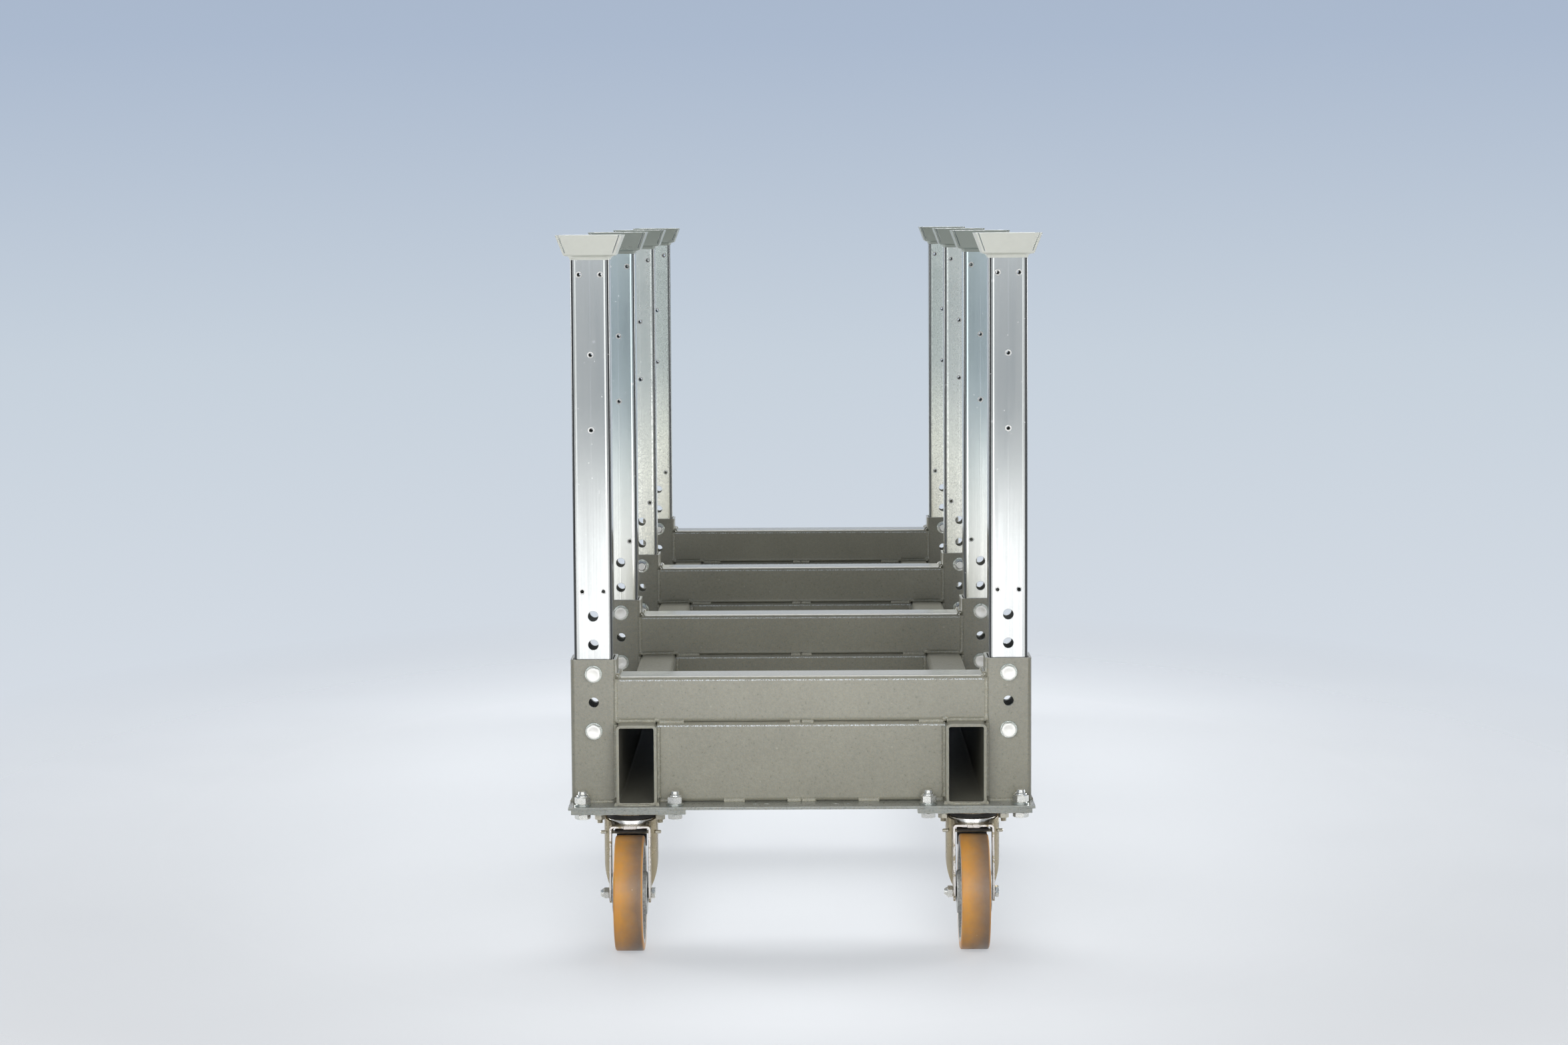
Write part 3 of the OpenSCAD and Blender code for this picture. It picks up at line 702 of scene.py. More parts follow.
def paint(name, base, cells, contrast=0.3, relief=0.0003, edge_amount=0.35, gloss=0.36):
    """Grey hammer paint with dust, edges that are partly rubbed and partly a painted highlight, and
    painted highlight dots on faces marked "glint".
    """
    f = Finish(name)
    where = f.place()
    hammer = f.group(hammer_group, Cell_Scale=cells, Contrast=contrast)
    wear_and_highlight = f.group(edge_wear_and_highlight_group, Amount=edge_amount, Break_Up=45.0)["Mask"]
    dust = f.group(dust_group, Amount=0.14)["Mask"]
    specks = f.group(speck_group, Scale=70.0, Share=0.05)["Mask"]
    colour = f.vector("SCALE", {0: base[:3], "Scale": hammer["Tone"]})[0]
    fleck = f.remap(f.noise(where, 620.0), 0.36, 0.64)
    flecked = f.mix(fleck, (0.9, 0.95, 1.0, 1), (1.1, 1.05, 0.97, 1))
    colour = f.mix(1.0, colour, flecked, "MULTIPLY")
    colour = f.mix(dust, colour, (0.47, 0.46, 0.43, 1))
    colour = f.mix(f.times(specks, 0.35), colour, colour4(base, 1.9))
    colour = f.mix(wear_and_highlight, colour, colour4(base, 2.1))
    # Painted highlight: pale dots on the faces marked "glint"
    dots = f.remap(f.noise(where, 480.0, 3.0, 0.6), 0.44, 0.6)
    colour = f.mix(f.times(f.mark("glint"), dots), colour, (0.62, 0.67, 0.7, 1))
    rough = f.remap(hammer["Relief"], 0.4, 1.1, gloss - 0.1, gloss + 0.12)
    f.give(
        Base_Color=colour, Roughness=f.times_plus(dust, 0.35, rough),
        Coat_Weight=0.6, Coat_Roughness=0.12)
    return f.raised(hammer["Relief"], relief)


# Pitch of the rows, and the tint painted on the upper posts of each row from the front, a painted
# reflection
ROW_PITCH = 0.936
ROW_REFLECTION_TINTS = (
    (0.0, (0.88, 0.885, 0.87, 1)), (0.25, (0.79, 0.89, 0.92, 1)),
    (0.5, (0.93, 0.96, 0.93, 1)), (0.75, (0.86, 0.92, 0.89, 1)),
)


def rolled_zinc(name, base, half, corner):
    """Zinc-coated square tube: drawn streaks, a seam, scuffs, corners that lean away, and painted
    reflections and light.
    """
    f = Finish(name)
    streaks = f.group(streak_group, Scale=(260.0, 260.0, 3.0), Broad_Scale=(34.0, 34.0, 1.6))
    wear_and_highlight = f.group(edge_wear_and_highlight_group, Amount=0.9, Break_Up=30.0)["Mask"]
    specks = f.group(speck_group, Scale=170.0, Share=0.07)["Mask"]
    scuffs = f.group(speck_group, Scale=48.0, Share=0.05)["Mask"]
    where = f.place()
    _, row, level = f.split(where)
    spangle = f.put("ShaderNodeTexVoronoi", {"Vector": where, "Scale": 330.0})
    grey = f.first_channel(spangle.outputs["Color"])
    cloud = f.noise(where, 9.0, 4.0, 0.6)
    shade = f.times_plus(streaks["Fine"], 0.4, f.times(streaks["Broad"], 0.6))
    shade = f.times_plus(grey, f.remap(row, -0.2, 0.6, 0.04, 0.45), shade)
    shade = f.remap(f.times_plus(cloud, 0.35, shade), 0.42, 1.2)
    # Painted reflection: the upper part of the posts gets a tint of its own in each row
    tone = f.ramp(f.remap(row, -2 * ROW_PITCH, 2 * ROW_PITCH), ROW_REFLECTION_TINTS, "CONSTANT")
    colour = f.mix(shade, colour4(base), colour4(base, 0.74))
    colour = f.mix(f.remap(level, 0.6, 0.95), colour, tone, "MULTIPLY")
    # Painted light: the lower posts, more so towards the rear, made lighter and warmer
    painted_light_rear_feet = f.times(f.remap(level, 0.7, 0.9, 1.0, 0.0), f.remap(row, -1.3, 0.9))
    colour = f.mix(painted_light_rear_feet, colour, (1.34, 1.31, 1.20, 1), "MULTIPLY")

    # The seam in the middle of the front face, and the turn of the tube's corners, which are
    # painted dark as a reflection
    section = f.split(f.put("ShaderNodeUVMap", uv_map="section").outputs[0])
    wide, deep = (f.calc("ABSOLUTE", section[k]) for k in (0, 1))
    in_front = f.calc("LESS_THAN", section[1], 0.0)
    seam = f.times(f.remap(wide, 0.0003, 0.0009, 1.0, 0.0), in_front)
    across = f.calc("MINIMUM", wide, deep)
    flat = half - corner
    turning = f.calc("POWER", f.remap(across, flat - 0.0008, half - 0.4 * corner), 0.45)
    lean = f.remap(across, flat - 0.0034, flat - 0.0008, 0.0, -0.00068)

    # Painted reflection: the corners' curved faces darkened
    colour = f.mix(turning, colour, colour4(base, 0.16))
    pale = f.calc("MAXIMUM", f.times(specks, 0.7), f.times(scuffs, 0.35))
    pale = f.calc("MAXIMUM", pale, f.times(seam, 0.14))
    for mask in (pale, wear_and_highlight):
        colour = f.mix(mask, colour, (0.97, 0.97, 0.95, 1))
    dry = f.calc("MAXIMUM", wear_and_highlight, f.times(specks, 0.6))
    f.give(
        Base_Color=colour, Metallic=f.remap(dry, 0.0, 1.0, 0.95, 0.2),
        Roughness=f.times_plus(dry, 0.3, f.remap(shade, 0.0, 1.0, 0.13, 0.3)))
    return f.raised(f.times_plus(seam, 0.00002, f.times_plus(streaks["Broad"], 0.00005, lean)))


def plated(name, base, shade, rough=0.3, metal=0.85, scale=160.0, edge=(0.95, 0.95, 0.93),
           rear=None, cut_highlight_metal=None):
    """Cloudy zinc plating on small or pressed parts, with its edges in a tone of their own.

    Pieces behind the first row can have a darker colour of their own (rear), a painted shade. On a
    fork the cut faces are less metallic and paler, a painted highlight, and the cup, which is
    marked "glint", is bright.
    """
    f = Finish(name)
    where = f.place()
    cloud = f.noise(where, scale, 4.0, 0.6)
    broad = f.noise(where, scale * 0.12, 3.0)
    wear_and_highlight = f.group(edge_wear_and_highlight_group, Amount=0.8, Break_Up=80.0)["Mask"]
    specks = f.group(speck_group, Scale=scale, Share=0.1)["Mask"]
    blend = f.remap(f.times_plus(cloud, 0.6, f.times(broad, 0.6)), 0.4, 0.85)
    colour = f.mix(blend, colour4(base), colour4(shade))
    # Painted shade: pieces behind the first row take the darker rear colour
    if rear:
        colour = f.mix(f.remap(f.split(where)[1], -1.1, -0.8), colour, colour4(rear))
    colour = f.mix(f.times(specks, 0.35), colour, colour4(shade, 0.4))
    colour = f.mix(wear_and_highlight, colour, colour4(edge))
    height = f.times(cloud, 0.00004)
    # Painted highlight: the fork's cut and rounded faces less metallic and pale, while the cup
    # keeps its metal
    if cut_highlight_metal is not None:
        cup = f.mark("glint")
        height = f.times_plus(f.times(cup, f.split(where)[2]), -2.0, height)
        colour = f.mix(cup, colour, (1.0, 0.98, 0.93, 1))
        dry = f.times(wear_and_highlight, f.calc("SUBTRACT", 1.0, cup))
        metal = f.remap(dry, 0.0, 1.0, metal, cut_highlight_metal)
    f.give(
        Base_Color=colour, Metallic=metal,
        Roughness=f.remap(blend, 0.0, 1.0, rough - 0.06, rough + 0.12))
    return f.raised(height)


def dark_metal(name, base, rough=0.45, scale=120.0, metal=0.5, relief=0.00008):
    """Oiled or blackened steel with dull patches."""
    f = Finish(name)
    grain = f.noise(f.place(), scale, 5.0, 0.65)
    wear_and_highlight = f.group(edge_wear_and_highlight_group, Amount=0.6, Break_Up=70.0)["Mask"]
    dust = f.group(dust_group, Amount=0.3)["Mask"]
    colour = f.mix(f.remap(grain, 0.35, 0.7), colour4(base, 0.7), colour4(base, 1.5))
    colour = f.mix(dust, colour, (0.35, 0.33, 0.3, 1))
    f.give(
        Base_Color=f.mix(wear_and_highlight, colour, (0.5, 0.5, 0.48, 1)), Metallic=metal,
        Roughness=f.remap(grain, 0.3, 0.7, rough - 0.1, rough + 0.15))
    return f.raised(grain, relief)


def polyurethane(name, vivid, deep):
    """Amber tread with fine marks round it, painted grey-brown towards its +X side as shade, its
    shoulders kept vivid as a painted glow.
    """
    f = Finish(name)
    where, across = f.place(), f.mark("across")
    cloud = f.noise(where, 28.0, 4.0, 0.6)
    specks = f.group(speck_group, Scale=120.0, Share=0.06)["Mask"]
    # Painted shade: grey-brown towards the tread's +X side; painted glow: its shoulders kept vivid
    # orange
    painted_side_shade = f.remap(f.times_plus(cloud, 0.9, across), -0.1, 1.1)
    inside = f.remap(f.calc("ABSOLUTE", across), 0.86, 0.97, 1.0, 0.0)
    colour = f.mix(f.times(painted_side_shade, inside), colour4(vivid), colour4(deep))
    lines = f.remap(f.noise(where, 60.0, 5.0, 0.7), 0.45, 0.75)
    colour = f.mix(f.times(lines, 0.25), colour, (0.36, 0.3, 0.25, 1))
    f.give(
        Base_Color=f.mix(f.times(specks, 0.5), colour, (0.8, 0.72, 0.6, 1)),
        Roughness=f.remap(cloud, 0.3, 0.7, 0.28, 0.46), Subsurface_Weight=0.25,
        Subsurface_Radius=(1.0, 0.45, 0.15), Subsurface_Scale=0.006)
    return f.raised(f.noise(where, 420.0), 0.00003)


def finishes():
    """Every material of the trolley, by a short name."""
    look = bpy.context.scene.trolley_look
    grey, cap, fork = (Vector(c) for c in (look.frame_colour, look.cap_colour, look.fork_colour))
    cells = look.mottle_scale
    return {
        "frame": paint("frame_hammer_paint", grey, cells),
        # The sockets' paint is the frame's paint 2% darker, a painted shade
        "socket": paint("socket_hammer_paint", grey * 0.98, cells),
        "plate": paint(
            "plate_paint", look.plate_colour, cells, contrast=0.2, edge_amount=0.6, gloss=0.3),
        # The beads' paint is the frame's paint made 25% lighter, a painted highlight
        "bead": paint(
            "weld_bead_paint", grey * 1.25, 420.0, contrast=0.5, relief=0.0002, gloss=0.22),
        "post": rolled_zinc("post_zinc", look.post_colour, look.post_side / 2, look.post_corner),
        # The caps behind the first row are darker, a painted shade
        "cap": plated(
            "cap_zinc", cap, cap * 0.9, rough=0.32, metal=0.65, scale=45.0,
            rear=(0.42, 0.46, 0.42)),
        # Post bolt heads: near-white and little metallic, a painted highlight, with darker
        # chamfers, a painted shade
        "head": plated(
            "bolt_head_zinc", (0.97, 0.96, 0.92), (0.88, 0.87, 0.82), rough=0.34, metal=0.3,
            scale=260.0, edge=(0.5, 0.51, 0.46)),
        "bolt": plated(
            "bolt_zinc", (0.92, 0.91, 0.86), (0.74, 0.73, 0.67), rough=0.24, metal=0.8,
            scale=260.0),
        "washer": plated(
            "washer_zinc", (0.66, 0.69, 0.64), (0.46, 0.49, 0.45), rough=0.26, metal=0.8,
            scale=260.0),
        "screw": plated(
            "caster_screw_zinc", (0.7, 0.66, 0.55), (0.45, 0.42, 0.34), rough=0.35, scale=260.0),
        "fork": plated(
            "fork_olive_zinc", fork, fork * 0.75, rough=0.26, metal=0.9, scale=40.0,
            edge=(0.78, 0.74, 0.7), cut_highlight_metal=0.3),
        "steel": dark_metal("dark_steel", (0.075, 0.072, 0.068)),
        "seal": dark_metal("seal_rubber", (0.035, 0.035, 0.034), rough=0.55, metal=0.0),
        "iron": dark_metal(
            "cast_iron", (0.4, 0.4, 0.38), rough=0.5, scale=210.0, metal=0.25, relief=0.0004),
        "turned": plated(
            "turned_iron", (0.6, 0.6, 0.57), (0.42, 0.42, 0.4), rough=0.35, scale=120.0),
        "nylon": plated(
            "nylon_insert", (0.03, 0.05, 0.11), (0.02, 0.03, 0.07), rough=0.45, metal=0.0,
            scale=90.0),
        # (0.27, 0.175, 0.11) is the grey-brown of the tread's painted shade
        "tread": polyurethane("amber_polyurethane", look.tread_colour, (0.27, 0.175, 0.11)),
    }


# Settings that a user may change

def colour_setting(name, description, default):
    return FloatVectorProperty(
        name=name, description=description, default=default, subtype="COLOR", min=0, max=1)


def length_setting(name, description, default, low, high):
    return FloatProperty(
        name=name, description=description, default=default, min=low, max=high, unit="LENGTH")


def power_setting(name, description, default):
    return FloatProperty(
        name=name, description=description, default=default, min=0, max=500, unit="POWER")


class TrolleyLook(bpy.types.PropertyGroup):
    """Colours and edge sizes of the trolley"""

    frame_colour: colour_setting(
        "Frame paint", "Hammer paint of the tubes and sockets", (0.253, 0.246, 0.197))
    plate_colour: colour_setting(
        "Plate paint", "Paint of the base and adapter plates", (0.272, 0.284, 0.262))
    post_colour: colour_setting("Post zinc", "Zinc coat of the upright posts", (0.80, 0.81, 0.79))
    cap_colour: colour_setting("Cap zinc", "Zinc coat of the flared caps", (0.89, 0.90, 0.81))
    fork_colour: colour_setting(
        "Fork zinc", "Olive zinc coat of the caster forks", (0.42, 0.35, 0.225))
    tread_colour: colour_setting("Tread", "Polyurethane of the wheels", (0.68, 0.33, 0.075))
    post_side: length_setting(
        "Post side", "Side of the square posts, for the shading of their corners",
        0.067, 0.03, 0.2)
    post_corner: length_setting(
        "Post corner", "Outer corner radius of the posts", 0.006, 0.001, 0.03)
    mottle_scale: FloatProperty(
        name="Mottle scale", description="Cells of the hammer paint in a metre",
        default=320.0, min=50, max=900)
    tube_round: length_setting(
        "Tube edge", "Radius of cut tube and plate edges", 0.0007, 0.0002, 0.002)
    sheet_round: length_setting(
        "Sheet edge", "Radius of pressed sheet edges", 0.0006, 0.0002, 0.002)
    bead_radius: length_setting("Weld bead", "Radius of a weld bead", 0.0042, 0.001, 0.006)
    seed: IntProperty(
        name="Seed", description="Seed of the fasteners' random turns", default=7, min=0)


class TrolleyStage(bpy.types.PropertyGroup):
    """Camera, lamps, floor and backdrop"""

    lens: FloatProperty(
        name="Lens", description="Focal length on a 36 mm sensor",
        default=80.17, min=20, max=200, unit="CAMERA")
    low_lamp: power_setting("Low front lamp", "Power of the low wide lamp in front", 7.8)
    glow_lamp: power_setting("Front glow", "Power of the low strip that the posts mirror", 9.0)
    high_lamp: power_setting("High front lamp", "Power of the slim lamp above the camera", 10.0)
    strip_lamp: power_setting(
        "Strip lamps", "Power of each upright strip beside the camera", 24.0)
    upper_glow: power_setting("Upper glow", "Power of the strip that the post tops mirror", 2.2)
    rear_glow: power_setting(
        "Rear glow", "Power of the lamp behind that rounded edges mirror", 46.0)
    warm_glow: power_setting(
        "Warm glow", "Power of the low lamp behind that the tube tops mirror", 1.5)
    top_lamp: power_setting("Top lamp", "Power of the lamp overhead", 30.0)
    side_lamp: power_setting("Side lamps", "Power of each lamp at the sides", 34.0)
    rear_lamp: power_setting("Rear lamp", "Power of the lamp behind", 110.0)
    ambient: FloatProperty(
        name="Ambient", description="Light that comes evenly from all round",
        default=0.085, min=0, max=2)


# Stage

# The camera's turn in radians and its place, found from the tops and feet of the posts
YAW, PITCH, ROLL = -0.00513, 0.08802, 0.00578
CAMERA_PLACE = (0.003, -7.4268, 1.2755)
SENSOR = 36.0

# Colours of the backdrop from below the horizon to high above it
BACKDROP = (
    (0.117, (0.84, 0.865, 0.90, 1)), (0.283, (0.66, 0.71, 0.775, 1)),
    (0.433, (0.57, 0.64, 0.72, 1)), (0.583, (0.41, 0.49, 0.62, 1)),
    (1.0, (0.24, 0.31, 0.41, 1)),
)
FLAG_FOOT, FLAG_TOP = 0.02, 3.6


def make_flag(name, line):
    """A dark card that only reflections see, so that bright metal has dark corner lines."""
    points = [(x, y, z) for x, y in line for z in (FLAG_FOOT, FLAG_TOP)]
    mesh = bpy.data.meshes.new(name)
    mesh.from_pydata(points, [], [(k, k + 1, k + 3, k + 2) for k in range(0, len(points) - 2, 2)])
    f = Finish(name + "_cloth")
    weave = f.noise(f.place(), 300.0)
    f.give(Base_Color=f.mix(weave, (0.03, 0.032, 0.03, 1), (0.06, 0.062, 0.056, 1)))
    flag = add_object(name, mesh, f.material)
    flag.visible_camera = flag.visible_diffuse = flag.visible_shadow = False
    flag.visible_transmission = flag.visible_volume_scatter = False


def area_lamp(name, place, target, size, power, spread=180, mirrored=True, shining=True,
              colour=(1.0, 1.0, 1.0)):
    """A rectangular lamp that points at a target. One that isn't shining is only mirrored."""
    data = bpy.data.lights.new(name, "AREA")
    data.shape = "RECTANGLE"
    data.size, data.size_y = size
    data.energy, data.color = power, colour
    data.spread = math.radians(spread)
    lamp = add_object(name, data)
    lamp.location = place
    lamp.rotation_euler = (Vector(target) - Vector(place)).to_track_quat("-Z", "Y").to_euler()
    lamp.visible_camera = False
    lamp.visible_glossy = mirrored
    lamp.visible_diffuse = shining


def make_camera(lens):
    """The photograph's camera."""
    ahead = math.cos(PITCH)
    forward = Vector((math.sin(YAW) * ahead, math.cos(YAW) * ahead, -math.sin(PITCH)))
    level = Vector((math.cos(YAW), -math.sin(YAW), 0))
    upward = level.cross(forward)
    right = level * math.cos(ROLL) - upward * math.sin(ROLL)
    up = level * math.sin(ROLL) + upward * math.cos(ROLL)
    data = bpy.data.cameras.new("Camera")
    data.lens, data.sensor_width = lens, SENSOR
    data.clip_start, data.clip_end = 0.1, 200.0
    camera = add_object("Camera", data)
    turn = Matrix((right, up, -forward)).transposed().to_4x4()
    camera.matrix_world = Matrix.Translation(CAMERA_PLACE) @ turn
    bpy.context.scene.camera = camera


def make_world(ambient):
    """Even light all round, and a pale backdrop where it is seen or mirrored."""
    world = bpy.data.worlds.new("Backdrop")
    world.use_nodes = True
    t = Tree(world.node_tree)
    t.tree.nodes.clear()
    toward = t.split(t.put("ShaderNodeTexCoord").outputs["Generated"])
    backdrop = t.ramp(t.remap(toward[2], -0.3, 0.3), BACKDROP)
    seen = t.put("ShaderNodeLightPath").outputs
    shown = seen["Is Camera Ray"]
    behind = t.calc("MAXIMUM", t.remap(toward[1], -0.9, 0.2, 0.62, 1.0), shown)
    backdrop = t.vector("SCALE", {0: backdrop, "Scale": behind})[0]
    for ray in ("Is Glossy Ray", "Is Transmission Ray"):
        shown = t.calc("MAXIMUM", shown, seen[ray])
    even = colour4((0.97, 1.0, 1.04), ambient)
    light = t.put("ShaderNodeBackground", {"Color": t.mix(shown, even, backdrop)})
    t.put("ShaderNodeOutputWorld", {0: light.outputs[0]})
    bpy.context.scene.world = world


def make_floor():
    """A pale floor that fades into the backdrop far out, so there is no horizon."""
    bm = bmesh.new()
    bmesh.ops.create_grid(bm, x_segments=8, y_segments=8, size=30)
    f = Finish("pale_floor")
    where = f.place()
    f.give(
        Base_Color=f.mix(f.noise(where, 0.8), (0.77, 0.79, 0.82, 1), (0.83, 0.85, 0.88, 1)),
        Roughness=f.remap(f.noise(where, 3.0), 0.3, 0.7, 0.55, 0.7))
    stretched = f.vector("MULTIPLY", {0: where, 1: (1.5, 1.0, 1.0)})[0]
    fade = f.remap(f.vector("LENGTH", {0: stretched})["Value"], 2.0, 3.8, 0.5, 1.0)
    clear = f.put("ShaderNodeBsdfTransparent")
    mixed = f.put("ShaderNodeMixShader", {0: fade, 1: f.shader.outputs[0], 2: clear.outputs[0]})
    f.join(mixed.outputs[0], f.tree.nodes["Material Output"].inputs[0])
    floor = add_object("floor", mesh_of("floor", bm), f.material)


class TROLLEY_OT_stage(bpy.types.Operator):
    """Make the camera, the lamps, the backdrop and the floor"""

    bl_idname = "trolley.stage"
    bl_label = "Stage"

    def execute(self, context):
        stage = context.scene.trolley_stage
        context.scene.view_settings.view_transform = "Standard"
        make_camera(stage.lens)
        make_world(stage.ambient)
        make_floor()
        front = span("sockets_left", "Y")[0]
        area_lamp(
            "Low front", (0, front - 1.2, 0.66), (0, front, 0.56), (1.2, 0.7), stage.low_lamp,
            spread=120, mirrored=False)
        area_lamp(
            "Front glow", (0, front - 2.6, 0.3), (0, front, 0.45), (4.0, 0.6), stage.glow_lamp,
            shining=False)
        area_lamp(
            "Upper glow", (0, front - 4.8, 1.37), (0, front, 1.37), (2.4, 0.5), stage.upper_glow,
            shining=False)
        area_lamp(
            "High front", (0, front - 4.6, 2.05), (0, front, 0.5), (3.0, 0.12), stage.high_lamp)
        area_lamp("Top", (0, 1.5, 4.2), (0, -0.1, 0.2), (2.6, 4.4), stage.top_lamp, spread=64)
        rear = (0, 5.6, 2.2), (0, 1.4, 0.5), (3.0, 1.6)
        area_lamp("Rear", *rear, stage.rear_lamp, mirrored=False)
        area_lamp("Rear glow", *rear, stage.rear_glow, shining=False)
        area_lamp(
            "Warm glow", (0, 5.7, 1.45), (0, 0, 0.9), (2.0, 0.36), stage.warm_glow,
            shining=False, colour=(1.0, 0.9, 0.72))
        for sx, number in ((-1, 2), (1, 1)):
            area_lamp(
                f"Side {sx}", (4.2 * sx, 1.9, 1.5), (0, 0.2, 0.5), (3.6, 1.6), stage.side_lamp,
                spread=70)
            area_lamp(
                f"Strip {sx}", (2.5 * sx, front - 4.8, 1.5), (0, front, 0.8), (2.0, 3.0),
                stage.strip_lamp, shining=False)
            make_flag(f"front_flag_{number}", [(3.9 * sx, -2.5), (2.4 * sx, -3.6)])
            make_flag(
                f"rear_flag_{number}", [(3.9 * sx, 2.5), (1.8 * sx, 4.0), (0.85 * sx, 4.6)])
        return {"FINISHED"}


# Frame

class TROLLEY_OT_tubes(bpy.types.Operator):
    """Dress the welded tubes, sockets and plates of the frame"""

    bl_idname = "trolley.tubes"
    bl_label = "Tubes and plates"

    def execute(self, context):
        def turns_up(face):
            """The start of a tube's upper corner, where dots of light are painted as a highlight.
            """
            return 0.05 < face.normal.z < 0.25

        tubes = [f"longitudinal_{side}" for side in SIDES] + [f"bolster_{n}" for n in ROWS]
        sockets = [f"sockets_{side}" for side in SIDES]
        plates = ["base_plate_front", "base_plate_rear", "adapter_plates"]
        for nodes, coat, slot, glint in (
            (tubes + ["lower_cross_tubes"], "frame", "frame_paint", turns_up),
            (sockets, "socket", "frame_paint", None),
            (plates, "plate", "plate_paint", None),
        ):
            for node in nodes:
                rounded_copy(
                    node, "painted", shared(finishes)[coat], slot,
                    context.scene.trolley_look.tube_round, glint=glint)
        return {"FINISHED"}


# Weld beads as lines: start, end and share of the bead's radius, with x given for the right side

TUBE_CORNER = 8 * MM
# How far the middle of most beads stands out of the face below them
PROUD = 0.0012
# Where short beads lie along the foot of the outer cross tubes, from the middle line
CROSS_BEADS = ((0.099, 0.135), (0.218, 0.246), (0.0005, 0.025))


def lay_beads(name, lines_of, radius):
    """Weld beads on the left and the right side of the frame."""
    lines = [
        (Vector((sx * x0, y0, z0)), Vector((sx * x1, y1, z1)), radius * share)
        for sx in (-1, 1) for (x0, y0, z0), (x1, y1, z1), share in lines_of(sx)
    ]
    dress(beads(f"weld_beads_{name}", lines, shared(finishes)["bead"]), "frame", "frame_paint")


def row_beads(n, sx, radius):
    """The beads of one row: bolster to sockets and beams, lower cross tube to beams."""
    low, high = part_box(f"bolster_{n}")
    inner, outer = span("longitudinal_right", "X")
    deck = span("longitudinal_right", "Z")[0]

    def along(x0, x1, y, z, share):
        return (x0, y, z), (x1, y, z), share

    def upright(x, y, z0, z1):
        return (x, y, z0), (x, y, z1), 1.0

    x, top = high.x - PROUD, high.z + PROUD
    yield (x, low.y + TUBE_CORNER, top), (x, high.y - TUBE_CORNER, top), 0.85
    for face, out in ((low.y, -1), (high.y, 1)):
        # Round the bolster's end, on the socket
        corner = face - out * 0.004
        yield (
            (high.x, corner, high.z - 0.003),
            (high.x - 0.004, corner - out * 0.003, high.z - 0.001), 1.1)
        yield upright(high.x + 0.0015, face - out * 0.55 * radius, low.z + 0.005, high.z - 0.004)
        # Down the socket and the lower cross tube, on the beam
        yield upright(high.x + 0.003, face - out * 0.003, deck + 0.008, low.z - 0.004)
        yield upright(inner - PROUD, face + out * PROUD, deck + TUBE_CORNER, low.z - TUBE_CORNER)
        # Under the bolster: on the beam and past its corners, then along the cross tube
        seam, inset = face - out * 0.0045, face - out * 0.0035
        yield along(inner + 0.003, outer - 0.002, seam, low.z + 0.002, 1.15)
        for near, far in ((inner - 0.005, inner + 0.005), (outer - 0.003, outer + 0.0035)):
            yield (near, inset, low.z + 0.003), (far, inset, low.z + 0.006), 1.2
        yield along(0.204, inner - 0.004, seam, low.z, 1.0)
        start, end = (0.02, 0.001) if sx < 0 else (0.001, 0.022)
        yield along(start, end, seam, low.z, 0.95)


def foot_beads(end):
    """The beads that join sockets, beams and the lower cross tube to one base plate."""
    low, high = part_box("bolster_1" if end == "front" else "bolster_4")
    inner, outer = span("longitudinal_right", "X")
    beam_low, beam_high = span("longitudinal_right", "Y")
    plate_low, plate_high = span(f"base_plate_{end}", "Y")
    socket_out = span("sockets_right", "X")[1]
    near = max(plate_low, beam_low) + 0.004
    far = min(plate_high, beam_high) - 0.004
    tip = beam_low if end == "front" else beam_high
    z = span("longitudinal_right", "Z")[0] + PROUD

    def line(x0, y0, x1, y1, share=1.0, up=0.0):
        return (x0, y0, z + up), (x1, y1, z + up), share

    for x, gap in ((inner + 0.001, 0.002), (outer - 0.001, -0.004)):
        yield line(x, near, x, low.y - gap)
        yield line(x, high.y + gap, x, far)
    side = socket_out + 0.0004
    yield line(side, low.y + TUBE_CORNER, side, high.y - TUBE_CORNER, 0.55)
    yield line(inner + 0.012, tip, outer - 0.012, tip, 0.6)
    for face, out in ((low.y, -1), (high.y, 1)):
        edge, seam = face + out * 0.001, face - out * 0.0035
        yield line(outer + 0.007, edge, socket_out - 0.007, edge, 0.8)
        for x0, x1 in CROSS_BEADS:
            yield line(x0, seam, x1, seam, 1.25, 0.001)


# Fillet under a cap: distance out from the post's face and height over its end, in mm
CAP_FILLET = (
    (6.6, 0.4), (4.6, -0.6), (2.7, -1.9), (1.3, -3.8), (0.6, -6.0), (0.2, -6.8), (-0.3, -6.8),
    (-0.3, 0.4),
)
CORNER_STEPS = 5


def square_ring(centre, half, corner, height):
    """Points round a square with rounded corners."""
    points = []
    for quarter, (sx, sy) in enumerate(((1, 1), (-1, 1), (-1, -1), (1, -1))):
        for k in range(CORNER_STEPS + 1):
            turn = (quarter + k / CORNER_STEPS) * math.pi / 2
            points.append(Vector((
                centre.x + sx * (half - corner) + corner * math.cos(turn),
                centre.y + sy * (half - corner) + corner * math.sin(turn), height)))
    return points


def cap_fillets(name, corner, material):
    """Fillet welds under the caps, round the tops of their posts."""
    bm = bmesh.new()
    for node in POSTS:
        half, top = half_of(node, "X"), span(node, "Z")[1]
        rings = [
            square_ring(middle(node), half + out * MM, corner + out * MM, top + up * MM)
            for out, up in CAP_FILLET
        ]
        one = skin(name, rings, loop=True)
        bm.from_mesh(one)
        bpy.data.meshes.remove(one)
    return add_object(name, mesh_of(name, bm), material)


